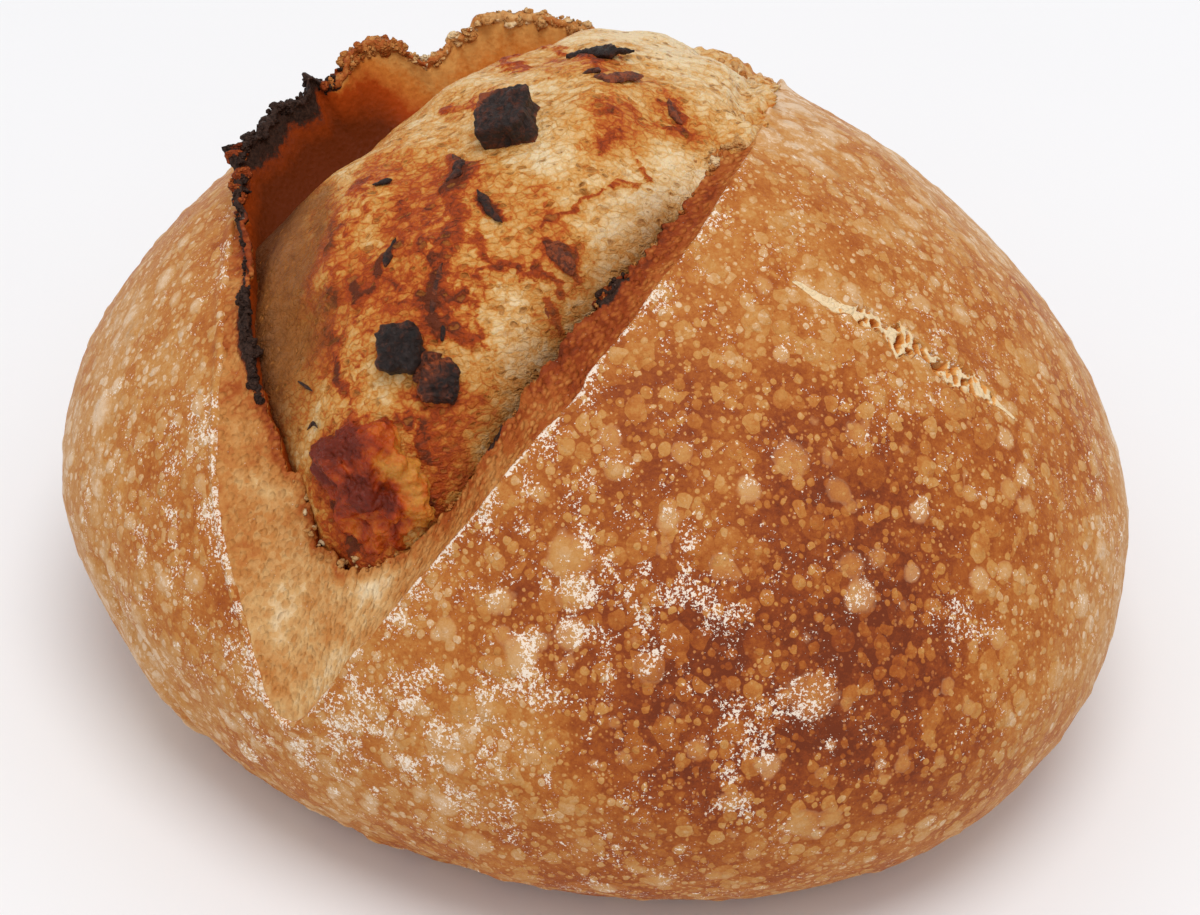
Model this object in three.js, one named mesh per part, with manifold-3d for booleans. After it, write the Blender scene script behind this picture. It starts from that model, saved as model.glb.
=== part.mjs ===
// A round sourdough loaf, slashed once across the crown and baked until the crumb burst out.
// The slash's left lip has lifted into an ear with a thin, ragged rim and a pocket under it.
// Charred pieces of filling are baked into the burst crumb. Millimetres, +Z up, the flat base on z = 0.
//
// Most of the shape is drawn in a chart wrapped round the dome. Its middle is the middle of the burst,
// p runs along the slash towards the far end, q runs across it to the right, and a height is measured
// outwards from the plain dome. A bearing is the angle round the chart, 0 at the far end, 90 to the right.
import * as THREE from "three";
import { mergeVertices } from "three/addons/utils/BufferGeometryUtils.js";
import Module from "manifold-3d";

const wasm = await Module();
wasm.setup();

const { clamp, degToRad, euclideanModulo, lerp, radToDeg, smoothstep } = THREE.MathUtils;

// ---- Driving dimensions ----
const HALF_WIDTH = 88.5;
const WIDEST_LEVEL = 36;
const HEART_PLACE = [1.2, -1]; // so that the origin is under the middle of the whole loaf
const CROWN_RISE = 70.4;
const UNDER_DROP = 50;
const CROWN_POWER = 1.65; // 2 would be an ellipse, lower is more pointed
const UNDER_POWER = 2.48;
const BASE_SINK = 0.8; // the base is flat this far up the rounded underside
const PLAN_WAVES = [
  { lobes: 2, cos: 0.017, sin: -0.056 },
  { lobes: 3, cos: -0.016, sin: -0.019 },
];
const SLUMP = [
  { wavelength: 120, height: 0.8, seed: 4.75 },
  { wavelength: 31, height: 0.3, seed: 4.1 },
];
const SLUMP_STARTS = 20; // the unevenness fades to nothing over this height above the base

const CHART_RADIUS = 75;
const CHART_TILT = 17; // degrees between the middle of the burst and straight up
const CHART_TILT_HEADING = 198.4;
const SLASH_HEADING = 54.1;

// The slash's two lips as [p, q], and how wide the dried cut face is between a lip and its torn rim.
const SLASH = [
  [-99, 0], [-84, 16], [-66, 27.5], [-40, 37.5], [0, 43], [30, 38], [60, 24], [88, 0],
  [64, -26], [30, -47], [8, -51.5], [-10, -47.5], [-50, -26], [-84, -10.5],
];
// Sizes that change round the burst, as [bearing, millimetres].
const FACE_WIDTH = [
  [0, 14], [20, 8], [60, 5.2], [90, 6], [135, 9], [160, 7.2], [170, 12], [180, 24], [190, 17],
  [202, 9], [222, 5], [250, 4.1], [325, 4.3], [345, 7.5],
];
const RIM_HEIGHT = [
  [45, -0.8], [60, -2.5], [90, -4.5], [135, -5], [180, -7], [195, -3.5], [210, 0], [235, 0.5],
  [250, 4], [260, 7], [275, 6.5], [286, 4.5], [300, 7.4], [310, 1.2], [324, 6], [330, 5], [340, 2.5],
  [352, -0.8],
];
const RIM_THICKNESS = [[0, 1.6], [90, 1.2], [180, 1.4], [225, 2.2], [270, 3.2], [315, 3.4]];
const POCKET_REACH = [[0, 1.5], [90, 2.5], [180, 2.5], [225, 3], [270, 5], [315, 5]];
const POCKET_FLOOR = [[0, -8], [90, -11], [180, -13], [225, -12], [270, -20], [305, -19], [335, -12]];
const BURST_EDGE = [
  [0, -1], [45, -1], [65, -3], [90, -6.5], [135, -8], [180, -10], [215, -8], [235, -10],
  [255, -17], [290, -18], [315, -15], [335, -9], [348, -3],
];
const BURST_FALL = [[0, 2.8], [90, 2.6], [180, 3], [225, 2.4], [270, 2.0], [315, 2.4]];
const BURST_MERGE = [[0, 1], [40, 1], [70, 0], [180, 0], [340, 0]]; // 1 where it runs on into the crust
const BURST_CROWN = 3.4;
const BURST_LUMPS = [
  { wavelength: 34, height: 0.9, seed: 7.7 },
  { wavelength: 13, height: 0.45, seed: 2.9 },
];
const VALLEY_DEPTH = 27; // below the burst crumb, which fills it
const BURST_ROOT_DEPTH = 32;
const RIM_TEETH = [
  { around: 17, height: 0.5, seed: 0.4 },
  { around: 37, height: 0.6, seed: 2.2 },
];
const TEETH_INWARD = 0.3; // the share of a tooth's height that it also leans inwards
const FACE_SAG = 0.8;
const LIP_RISE = 0.3;
// A second, smaller tear on the right shoulder.
const SHOULDER_TEAR = { from: [6, 59], to: [19, 98], half_width: 2.6, depth: 2.6 };

// Filling baked into the burst crumb: size along p, across and up, the share of it below the crumb's
// surface, and a turn about the outward direction. Boxiness 2 is an ellipsoid, 8 nearly a box.
const PIECES = [
  { name: "charred_cube_crown", at: [5.5, 5], size: [8.5, 8.5, 6], sunk: 0.35, turn: 32, boxiness: 7 },
  { name: "charred_cube_front", at: [-38, 9.5], size: [7.5, 6.5, 5.5], sunk: 0.4, turn: 20, boxiness: 5 },
  { name: "charred_cube_low", at: [-40.8, 17], size: [6, 6, 4.5], sunk: 0.4, turn: 20, boxiness: 4 },
  { name: "charred_strip", at: [30.5, 5.5], size: [2.6, 8.5, 2.4], sunk: 0.3, turn: 22, boxiness: 3 },
  { name: "melted_lump", at: [-61, 10], size: [20, 14.5, 8], sunk: 0.45, turn: 25, boxiness: 2.3 },
];
const PIECE_GAP = 0.3; // all round, between a piece and the crumb that holds it
const PIECE_CUTS = 4; // facets along each edge of the box that a piece is rounded from
const PIECE_ROUGHNESS = { wavelength: 5, height: 0.25, seed: 3.3 };
// Smaller scraps of the same filling, one with the crumb.
const SCRAPS = [
  { at: [-8, 4.5], size: [10, 4, 3], turn: 20 },
  { at: [-12, 13], size: [6, 2.5, 2.5], turn: 50 },
  { at: [-12.5, -8], size: [3, 3, 2.5], turn: 0 },
  { at: [-13, 26.5], size: [5.5, 4.5, 3], turn: 60 },
  { at: [-28.5, -3], size: [3, 6, 2.5], turn: 15 },
  { at: [-27.5, 11.5], size: [8, 2, 2], turn: 5 },
  { at: [21, 15.5], size: [2.5, 6, 2.2], turn: 10 },
  { at: [26.5, 23.5], size: [3.5, 4, 2.2], turn: 30 },
];
const SCRAP_SUNK = 0.45;

// ---- Sampling ----
const CRUST_COLUMNS = 144;
const BURST_COLUMNS = 96;
const CRUST_ROWS = 14; // from a lip down to the edge of the base
const BURST_ROWS = 12;
const FLANK_SHARES = [0.35, 0.7]; // where the cut face has rows, between the rim and the lip

// ---- Small helpers ----

// A smooth closed function of the bearing through [bearing, value] keys, level at each top and bottom.
function aroundBearing(keys) {
  const sorted = [...keys].sort((a, b) => a[0] - b[0]);
  const turned = (list, by) => list.map(([x, v]) => [x + by, v]);
  const k = [...turned(sorted.slice(-2), -360), ...sorted, ...turned(sorted.slice(0, 2), 360)];
  const slope = (i) => (k[i + 1][1] - k[i][1]) / (k[i + 1][0] - k[i][0]);
  const tangent = (i) => {
    if (i === 0 || i === k.length - 1 || slope(i - 1) * slope(i) <= 0) return 0;
    return (slope(i - 1) + slope(i)) / 2;
  };
  return (bearing) => {
    const x = euclideanModulo(bearing, 360);
    const i = Math.max(0, k.findIndex(([at]) => at > x) - 1);
    const width = k[i + 1][0] - k[i][0];
    const t = (x - k[i][0]) / width;
    return (
      (2 * t ** 3 - 3 * t ** 2 + 1) * k[i][1] + (t ** 3 - 2 * t ** 2 + t) * width * tangent(i) +
      (3 * t ** 2 - 2 * t ** 3) * k[i + 1][1] + (t ** 3 - t ** 2) * width * tangent(i + 1)
    );
  };
}

const bearingOf = (p, q) => euclideanModulo(radToDeg(Math.atan2(q, p)), 360);
const alongBearing = (bearing, reach) => [
  reach * Math.cos(degToRad(bearing)),
  reach * Math.sin(degToRad(bearing)),
];

// A unit vector from a heading round +Z, 0 along +X, and an angle down from +Z.
const headed = (heading, down) =>
  new THREE.Vector3(Math.sin(degToRad(down)), 0, Math.cos(degToRad(down)))
    .applyAxisAngle(new THREE.Vector3(0, 0, 1), degToRad(heading));

// Gentle unevenness, about -1 to 1: a sum of plane waves in directions spread by the golden angle.
function swell(point, wavelength, seed) {
  const waves = 6;
  const goldenAngle = 2.39996;
  let sum = 0;
  for (let k = 0; k < waves; k++) {
    const z = 1 - (2 * k + 1) / waves;
    const angle = seed + k * goldenAngle;
    const ring = Math.sqrt(1 - z * z);
    const along = point.x * ring * Math.cos(angle) + point.y * ring * Math.sin(angle) + point.z * z;
    sum += Math.sin((2 * Math.PI * along) / wavelength + seed * (k + 1));
  }
  return sum / Math.sqrt(waves);
}

const swells = (point, layers) =>
  layers.reduce((sum, { wavelength, height, seed }) => sum + height * swell(point, wavelength, seed), 0);

// ---- The dome and the chart on it ----
const heart = new THREE.Vector3(...HEART_PLACE, WIDEST_LEVEL);
const chartUp = headed(CHART_TILT_HEADING, CHART_TILT);
const chartAlong = headed(SLASH_HEADING, 90).projectOnPlane(chartUp).normalize();
const chartAcross = new THREE.Vector3().crossVectors(chartAlong, chartUp);

function chartDirection(p, q) {
  const reach = Math.hypot(p, q) + 1e-9;
  const angle = reach / CHART_RADIUS;
  return new THREE.Vector3()
    .addScaledVector(chartUp, Math.cos(angle))
    .addScaledVector(chartAlong, (Math.sin(angle) * p) / reach)
    .addScaledVector(chartAcross, (Math.sin(angle) * q) / reach);
}

// Distance from the loaf's heart to the plain dome, whose underside rounds into a flat base.
function domeRadius(way) {
  const turn = Math.atan2(way.y, way.x);
  const plan = PLAN_WAVES.reduce(
    (sum, { lobes, cos, sin }) => sum + cos * Math.cos(lobes * turn) + sin * Math.sin(lobes * turn), 1);
  const above = way.z > 0;
  const power = above ? CROWN_POWER : UNDER_POWER;
  const rise = above ? CROWN_RISE : UNDER_DROP;
  const side = Math.hypot(way.x, way.y) / (HALF_WIDTH * plan);
  const round = (side ** power + (Math.abs(way.z) / rise) ** power) ** (-1 / power);
  const flat = (WIDEST_LEVEL + BASE_SINK) / Math.max(-way.z, 1e-4);
  const corner = 30; // how sharply the side turns into the base
  return (round ** -corner + flat ** -corner) ** (-1 / corner);
}

function chartPoint(p, q, height) {
  const way = chartDirection(p, q);
  const radius = domeRadius(way);
  const onDome = way.clone().multiplyScalar(radius);
  const slump = swells(onDome, SLUMP) * smoothstep(onDome.z + WIDEST_LEVEL, 0, SLUMP_STARTS);
  return way.multiplyScalar(radius + slump + height).add(heart);
}

// ---- Solids ----
function manifoldOf(geometry) {
  const bare = geometry.clone();
  bare.deleteAttribute("normal");
  bare.deleteAttribute("uv");
  const merged = mergeVertices(bare, 1e-4);
  return new wasm.Manifold(new wasm.Mesh({
    numProp: 3,
    vertProperties: new Float32Array(merged.attributes.position.array),
    triVerts: new Uint32Array(merged.index.array),
  }));
}

function geometryOf(solid) {
  const { numProp, numVert, vertProperties, triVerts } = solid.getMesh();
  const positions = new Float32Array(numVert * 3);
  for (let i = 0; i < numVert; i++) {
    positions.set(vertProperties.subarray(i * numProp, i * numProp + 3), i * 3);
  }
  const geometry = new THREE.BufferGeometry();
  geometry.setAttribute("position", new THREE.BufferAttribute(positions, 3));
  geometry.setIndex(new THREE.BufferAttribute(new Uint32Array(triVerts), 1));
  geometry.computeVertexNormals();
  return geometry;
}

// A closed body from rows of points, each row a ring; the first and last rows shrink to one point each.
function ringBody(rows) {
  const columns = rows[0].length;
  const middle = rows.slice(1, -1);
  const points = [rows[0][0], ...middle.flat(), rows[rows.length - 1][0]];
  const at = (row, column) => 1 + row * columns + (column % columns);
  const faces = [];
  for (let c = 0; c < columns; c++) {
    faces.push(0, at(0, c + 1), at(0, c));
    faces.push(points.length - 1, at(middle.length - 1, c), at(middle.length - 1, c + 1));
    for (let r = 0; r < middle.length - 1; r++) {
      faces.push(at(r, c), at(r, c + 1), at(r + 1, c));
      faces.push(at(r, c + 1), at(r + 1, c + 1), at(r + 1, c));
    }
  }
  const geometry = new THREE.BufferGeometry().setFromPoints(points);
  geometry.setIndex(faces);
  return manifoldOf(geometry);
}

// ---- The crust ----
const slashReach = aroundBearing(SLASH.map(([p, q]) => [bearingOf(p, q), Math.hypot(p, q)]));
const faceWidth = aroundBearing(FACE_WIDTH);
const rimHeight = aroundBearing(RIM_HEIGHT);
const rimThickness = aroundBearing(RIM_THICKNESS);
const pocketReach = aroundBearing(POCKET_REACH);
const pocketFloor = aroundBearing(POCKET_FLOOR);
const tearReach = (bearing) => slashReach(bearing) - faceWidth(bearing);

// Bearings spaced evenly along the lips, so that the pointed ends get their share of columns.
function columnBearings(count) {
  const steps = 2880;
  const onLip = (i) => new THREE.Vector2(...alongBearing((360 * i) / steps, slashReach((360 * i) / steps)));
  const length = [0];
  for (let i = 1; i <= steps; i++) length.push(length[i - 1] + onLip(i).distanceTo(onLip(i - 1)));
  const bearings = [];
  for (let c = 0, i = 0; c < count; c++) {
    const wanted = (length[steps] * c) / count;
    while (length[i + 1] < wanted) i++;
    bearings.push((360 * (i + (wanted - length[i]) / (length[i + 1] - length[i]))) / steps);
  }
  return bearings;
}

// The ragged edge of the torn rim: coarse on the ear's side, fine on the right.
function rimTooth(bearing) {
  const turn = degToRad(bearing);
  const raggedness = 0.4 + 0.6 * clamp(-Math.sin(turn), 0, 1);
  const uneven = 2 * Math.sin(3 * turn);
  return raggedness * RIM_TEETH.reduce(
    (sum, { around, height, seed }) => sum + height * Math.sin(around * turn + seed + uneven), 0);
}

// Where a bearing's line down the crust meets the level of the base.
function baseReach(bearing) {
  let [above, below] = [CHART_RADIUS, (Math.PI * CHART_RADIUS * 7) / 8];
  for (let halving = 0; halving < 30; halving++) {
    const middle = (above + below) / 2;
    if (chartPoint(...alongBearing(bearing, middle), 0).z > 0) above = middle;
    else below = middle;
  }
  return above;
}

// One line of the crust as points, from under the burst, round the pocket and the rim, down to the base.
function crustColumn(bearing) {
  const lip = slashReach(bearing);
  const tooth = rimTooth(bearing);
  const rim = tearReach(bearing);
  const top = rimHeight(bearing) + tooth;
  const thick = rimThickness(bearing);
  const pocket = pocketReach(bearing);
  const floor = pocketFloor(bearing);
  const edge = rim + 0.25 * thick - TEETH_INWARD * tooth;
  const base = baseReach(bearing);
  const profile = [
    [0, -VALLEY_DEPTH],
    [rim - 5, -VALLEY_DEPTH],
    [rim - 1 + 0.5 * pocket, (floor - VALLEY_DEPTH) / 2],
    [rim + pocket, floor],
    [rim + 0.9 * pocket, lerp(floor, top - thick, 0.45)],
    [rim + 0.2, top - thick],
    [edge, top],
    ...FLANK_SHARES.map((share) => [
      lerp(edge, lip, share),
      lerp(top, LIP_RISE, share) - FACE_SAG * Math.sin(Math.PI * share),
    ]),
    [lip, LIP_RISE],
  ];
  for (let row = 1; row <= CRUST_ROWS; row++) profile.push([lerp(lip, base, row / CRUST_ROWS), 0]);
  const points = profile.map(([reach, height]) => chartPoint(...alongBearing(bearing, reach), height));
  points[points.length - 1].z = 0;
  return points;
}

function crustSolid() {
  const columns = columnBearings(CRUST_COLUMNS).map(crustColumn);
  const rows = columns[0].map((_, r) => columns.map((column) => column[r]));
  const bottom = new THREE.Vector3();
  rows[rows.length - 1].forEach((point) => bottom.addScaledVector(point, 1 / CRUST_COLUMNS));
  return ringBody([...rows, [bottom]]);
}

// A lens-shaped cutter that follows the shoulder's tear.
function shoulderTearCutter() {
  const { from, to, half_width, depth } = SHOULDER_TEAR;
  const along = new THREE.Vector2(...to).sub(new THREE.Vector2(...from));
  const sideways = new THREE.Vector2(-along.y, along.x).normalize();
  const ring = [[1, 1.5], [0.7, -0.6], [0, -1], [-0.7, -0.6], [-1, 1.5]]; // [width share, depth share]
  const rows = [];
  const steps = 10;
  for (let i = 0; i <= steps; i++) {
    const t = i / steps;
    const open = Math.sin(Math.PI * t) ** 0.6;
    const ragged = 1 + 0.25 * Math.sin(9 * t);
    rows.push(ring.map(([across, down]) => {
      const off = across * half_width * open * ragged;
      const p = from[0] + along.x * t + sideways.x * off;
      const q = from[1] + along.y * t + sideways.y * off;
      return chartPoint(p, q, down * depth * (down > 0 ? 1 : open));
    }));
  }
  return ringBody(rows);
}

// ---- The burst crumb ----
const burstEdge = aroundBearing(BURST_EDGE);
const burstFall = aroundBearing(BURST_FALL);
const burstMerge = aroundBearing(BURST_MERGE);
// It ends just inside the pocket, and past the lip where it merges.
const burstReach = (bearing) => tearReach(bearing) + lerp(1.5, faceWidth(bearing) + 1, burstMerge(bearing));

function burstPoint(p, q) {
  const bearing = bearingOf(p, q);
  const share = Math.hypot(p, q) / burstReach(bearing);
  const bare = chartPoint(p, q, lerp(BURST_CROWN, burstEdge(bearing), share ** burstFall(bearing)));
  return bare.addScaledVector(chartDirection(p, q), swells(bare, BURST_LUMPS));
}

function burstSolid() {
  const bearings = columnBearings(BURST_COLUMNS);
  const ringAt = (share, place) => bearings.map((bearing) =>
    place(...alongBearing(bearing, burstReach(bearing) * share)));
  const rows = [];
  for (let row = 0; row <= BURST_ROWS; row++) rows.push(ringAt(row / BURST_ROWS, burstPoint));
  for (const share of [0.93, 0]) rows.push(ringAt(share, (p, q) => chartPoint(p, q, -BURST_ROOT_DEPTH)));
  return ringBody(rows);
}

// ---- The filling ----

// The frame of a place on the crumb: X along p, Y across, Z outwards, its origin on the surface.
function crumbFrame([p, q], turn) {
  const step = 2;
  const along = burstPoint(p + step, q).sub(burstPoint(p - step, q)).normalize();
  const across = burstPoint(p, q + step).sub(burstPoint(p, q - step));
  const out = new THREE.Vector3().crossVectors(across, along).normalize();
  const left = new THREE.Vector3().crossVectors(out, along);
  return new THREE.Matrix4()
    .makeBasis(along, left, out)
    .setPosition(burstPoint(p, q))
    .multiply(new THREE.Matrix4().makeRotationZ(degToRad(turn)));
}

// A rough rounded block: a box's points drawn in to a superellipsoid. Growth is added on every side.
function blockGeometry({ at, size, sunk, turn, boxiness }, cuts, growth = 0) {
  const geometry = new THREE.BoxGeometry(2, 2, 2, cuts, cuts, cuts);
  const positions = geometry.attributes.position;
  const half = new THREE.Vector3(...size).multiplyScalar(0.5);
  const point = new THREE.Vector3();
  for (let i = 0; i < positions.count; i++) {
    point.fromBufferAttribute(positions, i).normalize();
    const [x, y, z] = point.toArray().map(Math.abs);
    const reach = (x ** boxiness + y ** boxiness + z ** boxiness) ** (-1 / boxiness);
    const way = point.clone();
    point.multiplyScalar(reach).multiply(half);
    const { wavelength, height, seed } = PIECE_ROUGHNESS;
    point.addScaledVector(way, height * swell(point, wavelength, seed + at[0]) + growth);
    positions.setXYZ(i, ...point.toArray());
  }
  geometry.translate(0, 0, half.z * (1 - 2 * sunk));
  return geometry.applyMatrix4(crumbFrame(at, turn));
}

// ---- Assembly ----
function loafSolid() {
  let loaf = crustSolid().add(burstSolid()).subtract(shoulderTearCutter());
  for (const scrap of SCRAPS) {
    loaf = loaf.add(manifoldOf(blockGeometry({ ...scrap, sunk: SCRAP_SUNK, boxiness: 2.5 }, 2)));
  }
  for (const piece of PIECES) {
    loaf = loaf.subtract(manifoldOf(blockGeometry(piece, PIECE_CUTS, PIECE_GAP)));
  }
  return loaf;
}

const crustFinish = new THREE.MeshStandardMaterial({ color: 0xc07a3a, roughness: 0.6, metalness: 0 });
const charFinish = new THREE.MeshStandardMaterial({ color: 0x2a1c18, roughness: 0.7, metalness: 0 });
const meltedFinish = new THREE.MeshStandardMaterial({ color: 0xb8481c, roughness: 0.4, metalness: 0 });

function named(name, geometry, material) {
  const mesh = new THREE.Mesh(geometry, material);
  mesh.name = name;
  return mesh;
}

const loaf = new THREE.Group();
loaf.add(named("loaf", geometryOf(loafSolid()), crustFinish));
for (const piece of PIECES) {
  const finish = piece.name === "melted_lump" ? meltedFinish : charFinish;
  loaf.add(named(piece.name, blockGeometry(piece, PIECE_CUTS), finish));
}

export default loaf;
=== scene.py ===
"""A round sourdough loaf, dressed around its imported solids.

The floured crust, the torn cut faces, the burst crumb and the charred filling are fine meshes worked out in
millimetres in a chart wrapped round the dome. The chart's middle is the middle of the burst, p runs along
the slash towards the far end, q runs across it to the right, and a height is measured out from the dome.
A bearing is the angle round the chart, 0 at the far end and 90 to the right.
"""

import functools
import math

import bmesh
import bpy
import numpy as np
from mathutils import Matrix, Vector, kdtree


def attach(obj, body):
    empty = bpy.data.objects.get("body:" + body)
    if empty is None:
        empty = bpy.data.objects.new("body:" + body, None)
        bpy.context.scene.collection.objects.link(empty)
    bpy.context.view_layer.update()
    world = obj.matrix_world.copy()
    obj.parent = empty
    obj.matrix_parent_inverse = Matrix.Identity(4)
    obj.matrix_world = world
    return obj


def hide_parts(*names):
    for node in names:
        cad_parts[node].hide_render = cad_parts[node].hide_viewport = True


bl_info = {
    "name": "Sourdough loaf",
    "version": (1, 0, 0),
    "blender": (4, 5, 0),
    "location": "View3D > Sidebar > Loaf",
    "description": "Builds a floured crust, torn rim, burst crumb and charred filling round a packed loaf",
    "category": "Add Mesh",
}

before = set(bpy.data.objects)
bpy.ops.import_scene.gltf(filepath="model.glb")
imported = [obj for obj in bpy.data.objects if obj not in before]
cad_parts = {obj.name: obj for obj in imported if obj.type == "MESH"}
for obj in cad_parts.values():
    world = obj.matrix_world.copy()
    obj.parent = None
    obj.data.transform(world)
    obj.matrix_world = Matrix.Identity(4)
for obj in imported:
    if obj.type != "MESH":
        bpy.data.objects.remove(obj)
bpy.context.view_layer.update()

MM = 0.001

# ---- The loaf's own shape, in millimetres and degrees ----
# A least-squares fit gave the widest level, rise, drop, powers and waves, here rounded, and a search the first
# slump. The rest was given.
HALF_WIDTH = 88.5
WIDEST_LEVEL = 36.0
HEART = np.array([1.2, -1.0, WIDEST_LEVEL])  # the dome is measured out from here
CROWN_RISE = 70.4  # from the heart up, and the drop down to where the underside would close
UNDER_DROP = 50.0
CROWN_POWER = 1.65  # 2 is an ellipse, less is more pointed and more is boxier
UNDER_POWER = 2.48
BASE_SINK = 0.8  # how far below the table the base lies before it is levelled
BASE_CORNER = 30.0  # how crisply the side turns into the base
PLAN_WAVES = [(2, 0.017, -0.056), (3, -0.016, -0.019)]  # lobes, cosine share, sine share
SLUMP = [(120, 0.8, 4.75), (31, 0.3, 4.1)]  # wavelength, height, seed
SLUMP_STARTS = 20.0  # above the base, which stays level

# The chart's middle leans from the vertical by the tilt, towards the tilt's heading.
CHART_RADIUS = 75.0
CHART_TILT = 17.0
CHART_TILT_HEADING = 198.4
SLASH_HEADING = 54.1

# The slash's lips, as places (p, q) in the chart.
SLASH = [
    (-99, 0), (-84, 16), (-66, 27.5), (-40, 37.5), (0, 43), (30, 38), (60, 24), (88, 0),
    (64, -26), (30, -47), (8, -51.5), (-10, -47.5), (-50, -26), (-84, -10.5),
]
# Where the blade paused on the right lip, and how far it stepped outwards there.
PAUSE_BEARING = 127.5
PAUSE_STEP = 0.7
# What changes round the burst, as (bearing, value). Widths and reaches run along the dome, and heights out from it.
# The cut face is the torn skin between a lip and the rim round the crumb.
FACE_WIDTH = [
    (0, 14), (20, 8), (60, 5.2), (90, 6), (135, 9), (160, 7.2), (170, 12), (180, 24), (190, 17),
    (202, 9), (222, 5), (250, 4.1), (325, 4.3), (345, 7.5),
]
RIM_THICKNESS = [(0, 1.6), (90, 1.2), (180, 1.4), (225, 2.2), (270, 3.2), (315, 3.4)]
# The pocket runs back from the rim, under the ear where it is deepest.
POCKET_REACH = [(0, 1.5), (90, 2.5), (180, 2.5), (225, 3), (270, 5), (315, 5)]
POCKET_FLOOR = [(0, -8), (90, -11), (180, -13), (225, -12), (270, -20), (305, -19), (335, -12)]
# The crumb's height at its edge, how far a drawn sheet carries that edge past the rim, how late the crumb falls
# from its crown to its edge, and where it runs on into the crust, at 1, instead of stopping at the rim.
BURST_EDGE = [
    (0, -1), (45, -1), (65, -3), (90, -6.5), (135, -8), (165, -8.4), (180, -8.6), (198, -6), (215, -3.8),
    (235, -3.8), (252, -7), (266, -14), (290, -18), (315, -15), (335, -9), (348, -3),
]
SHEET_REACH = [(0, 0), (150, 0), (165, 1), (186, 1), (203, 3.5), (235, 4.8), (252, 4.0), (266, 0.8), (280, 0)]
BURST_FALL = [(0, 2.8), (90, 2.6), (180, 3), (225, 2.4), (270, 2.0), (315, 2.4)]
BURST_MERGE = [(0, 1), (40, 1), (70, 0), (180, 0), (340, 0)]
BURST_CROWN = 3.4
BURST_LUMPS = [(34, 0.9, 7.7), (13, 0.45, 2.9)]  # wavelength, height, seed
VALLEY_DEPTH = 27.0  # the cut faces' foot, out of sight under the crumb
BURST_ROOT_DEPTH = 32.0  # the point that closes the crumb from below
FACE_SAG = 0.8  # how hollow a cut face is
FACE_RISE = 0.3  # how proud its upper edge stands


# ---- Smooth functions and noise ----
def around_bearing(keys):
    """A smooth closed function of the bearing through its keys, level at each top and bottom."""
    keys = sorted(keys)
    turned = [(x - 360, v) for x, v in keys[-2:]] + keys + [(x + 360, v) for x, v in keys[:2]]
    at = np.array([x for x, _ in turned], float)
    value = np.array([v for _, v in turned], float)
    slope = np.diff(value) / np.diff(at)
    tangent = np.zeros(len(at))
    tangent[1:-1] = np.where(slope[:-1] * slope[1:] <= 0, 0, (slope[:-1] + slope[1:]) / 2)

    def value_at(bearing):
        x = np.mod(bearing, 360)
        i = np.clip(np.searchsorted(at, x, side="right") - 1, 0, len(at) - 2)
        width = at[i + 1] - at[i]
        t = (x - at[i]) / width
        return (
            (2 * t**3 - 3 * t**2 + 1) * value[i]
            + (t**3 - 2 * t**2 + t) * width * tangent[i]
            + (3 * t**2 - 2 * t**3) * value[i + 1]
            + (t**3 - t**2) * width * tangent[i + 1]
        )

    return value_at


def smooth(low, high, x):
    """0 below low, 1 above high, and an even S between them; high may be the lower one."""
    t = np.clip((x - low) / (high - low), 0, 1)
    return t * t * (3 - 2 * t)


def lerp(a, b, t):
    return a + (b - a) * t


def sector(bearing, start, full, fading, end):
    """1 between two bearings, fading to 0 at a start before them and an end past them."""
    return smooth(start, full, bearing) * smooth(end, fading, bearing)


def bell(away, width):
    """1 at no distance, and next to nothing at twice the width."""
    return np.exp(-((away / width) ** 2))


def swell(points, wavelength, seed):
    """Gentle unevenness, the sum of six plane waves spread by the golden angle."""
    waves, golden_angle, total = 6, 2.39996, 0
    for k in range(waves):
        z = 1 - (2 * k + 1) / waves
        angle = seed + k * golden_angle
        ring = math.sqrt(1 - z * z)
        along = points[..., 0] * ring * math.cos(angle) + points[..., 1] * ring * math.sin(angle)
        total = total + np.sin(2 * np.pi * (along + points[..., 2] * z) / wavelength + seed * (k + 1))
    return total / math.sqrt(waves)


def swells(points, layers):
    return sum(height * swell(points, wavelength, seed) for wavelength, height, seed in layers)


def scrambled(cells, seed):
    """A repeatable random number from 0 to 1 for each whole-numbered cell."""
    mixed = np.full(cells[0].shape, np.uint32(seed * 9781 + 101), np.uint32)
    for axis, prime in zip(cells, (374761393, 668265263, 2246822519)):
        mixed = (mixed ^ (axis.astype(np.int64) & 0xFFFFFFFF).astype(np.uint32)) * np.uint32(prime)
        mixed = mixed ^ (mixed >> np.uint32(15))
    mixed = mixed * np.uint32(3266489917)
    return ((mixed ^ (mixed >> np.uint32(13))) & np.uint32(0xFFFFFF)) / float(0xFFFFFF)


def corners(dimensions, low, high):
    """Every whole-numbered step from low to high along each axis."""
    return np.stack(np.meshgrid(*[range(low, high + 1)] * dimensions), -1).reshape(-1, dimensions)


def cloud(points, size, seed):
    """Smooth noise from -1 to 1 with features of that size, in as many dimensions as the points have."""
    grid = points / size
    cell = np.floor(grid).astype(np.int64)
    t = grid - cell
    t = t * t * (3 - 2 * t)
    total = 0
    for step in corners(points.shape[-1], 0, 1):
        share = np.prod(np.where(step, t, 1 - t), -1)
        total = total + share * scrambled([cell[..., k] + step[k] for k in range(len(step))], seed)
    return total * 2 - 1


def rough(points, size, seed, octaves=3):
    """Clouds upon clouds, each half the size and about half the height of the last."""
    return sum(0.55**k * cloud(points, size / 2**k, seed + k) for k in range(octaves)) / 1.5


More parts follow.
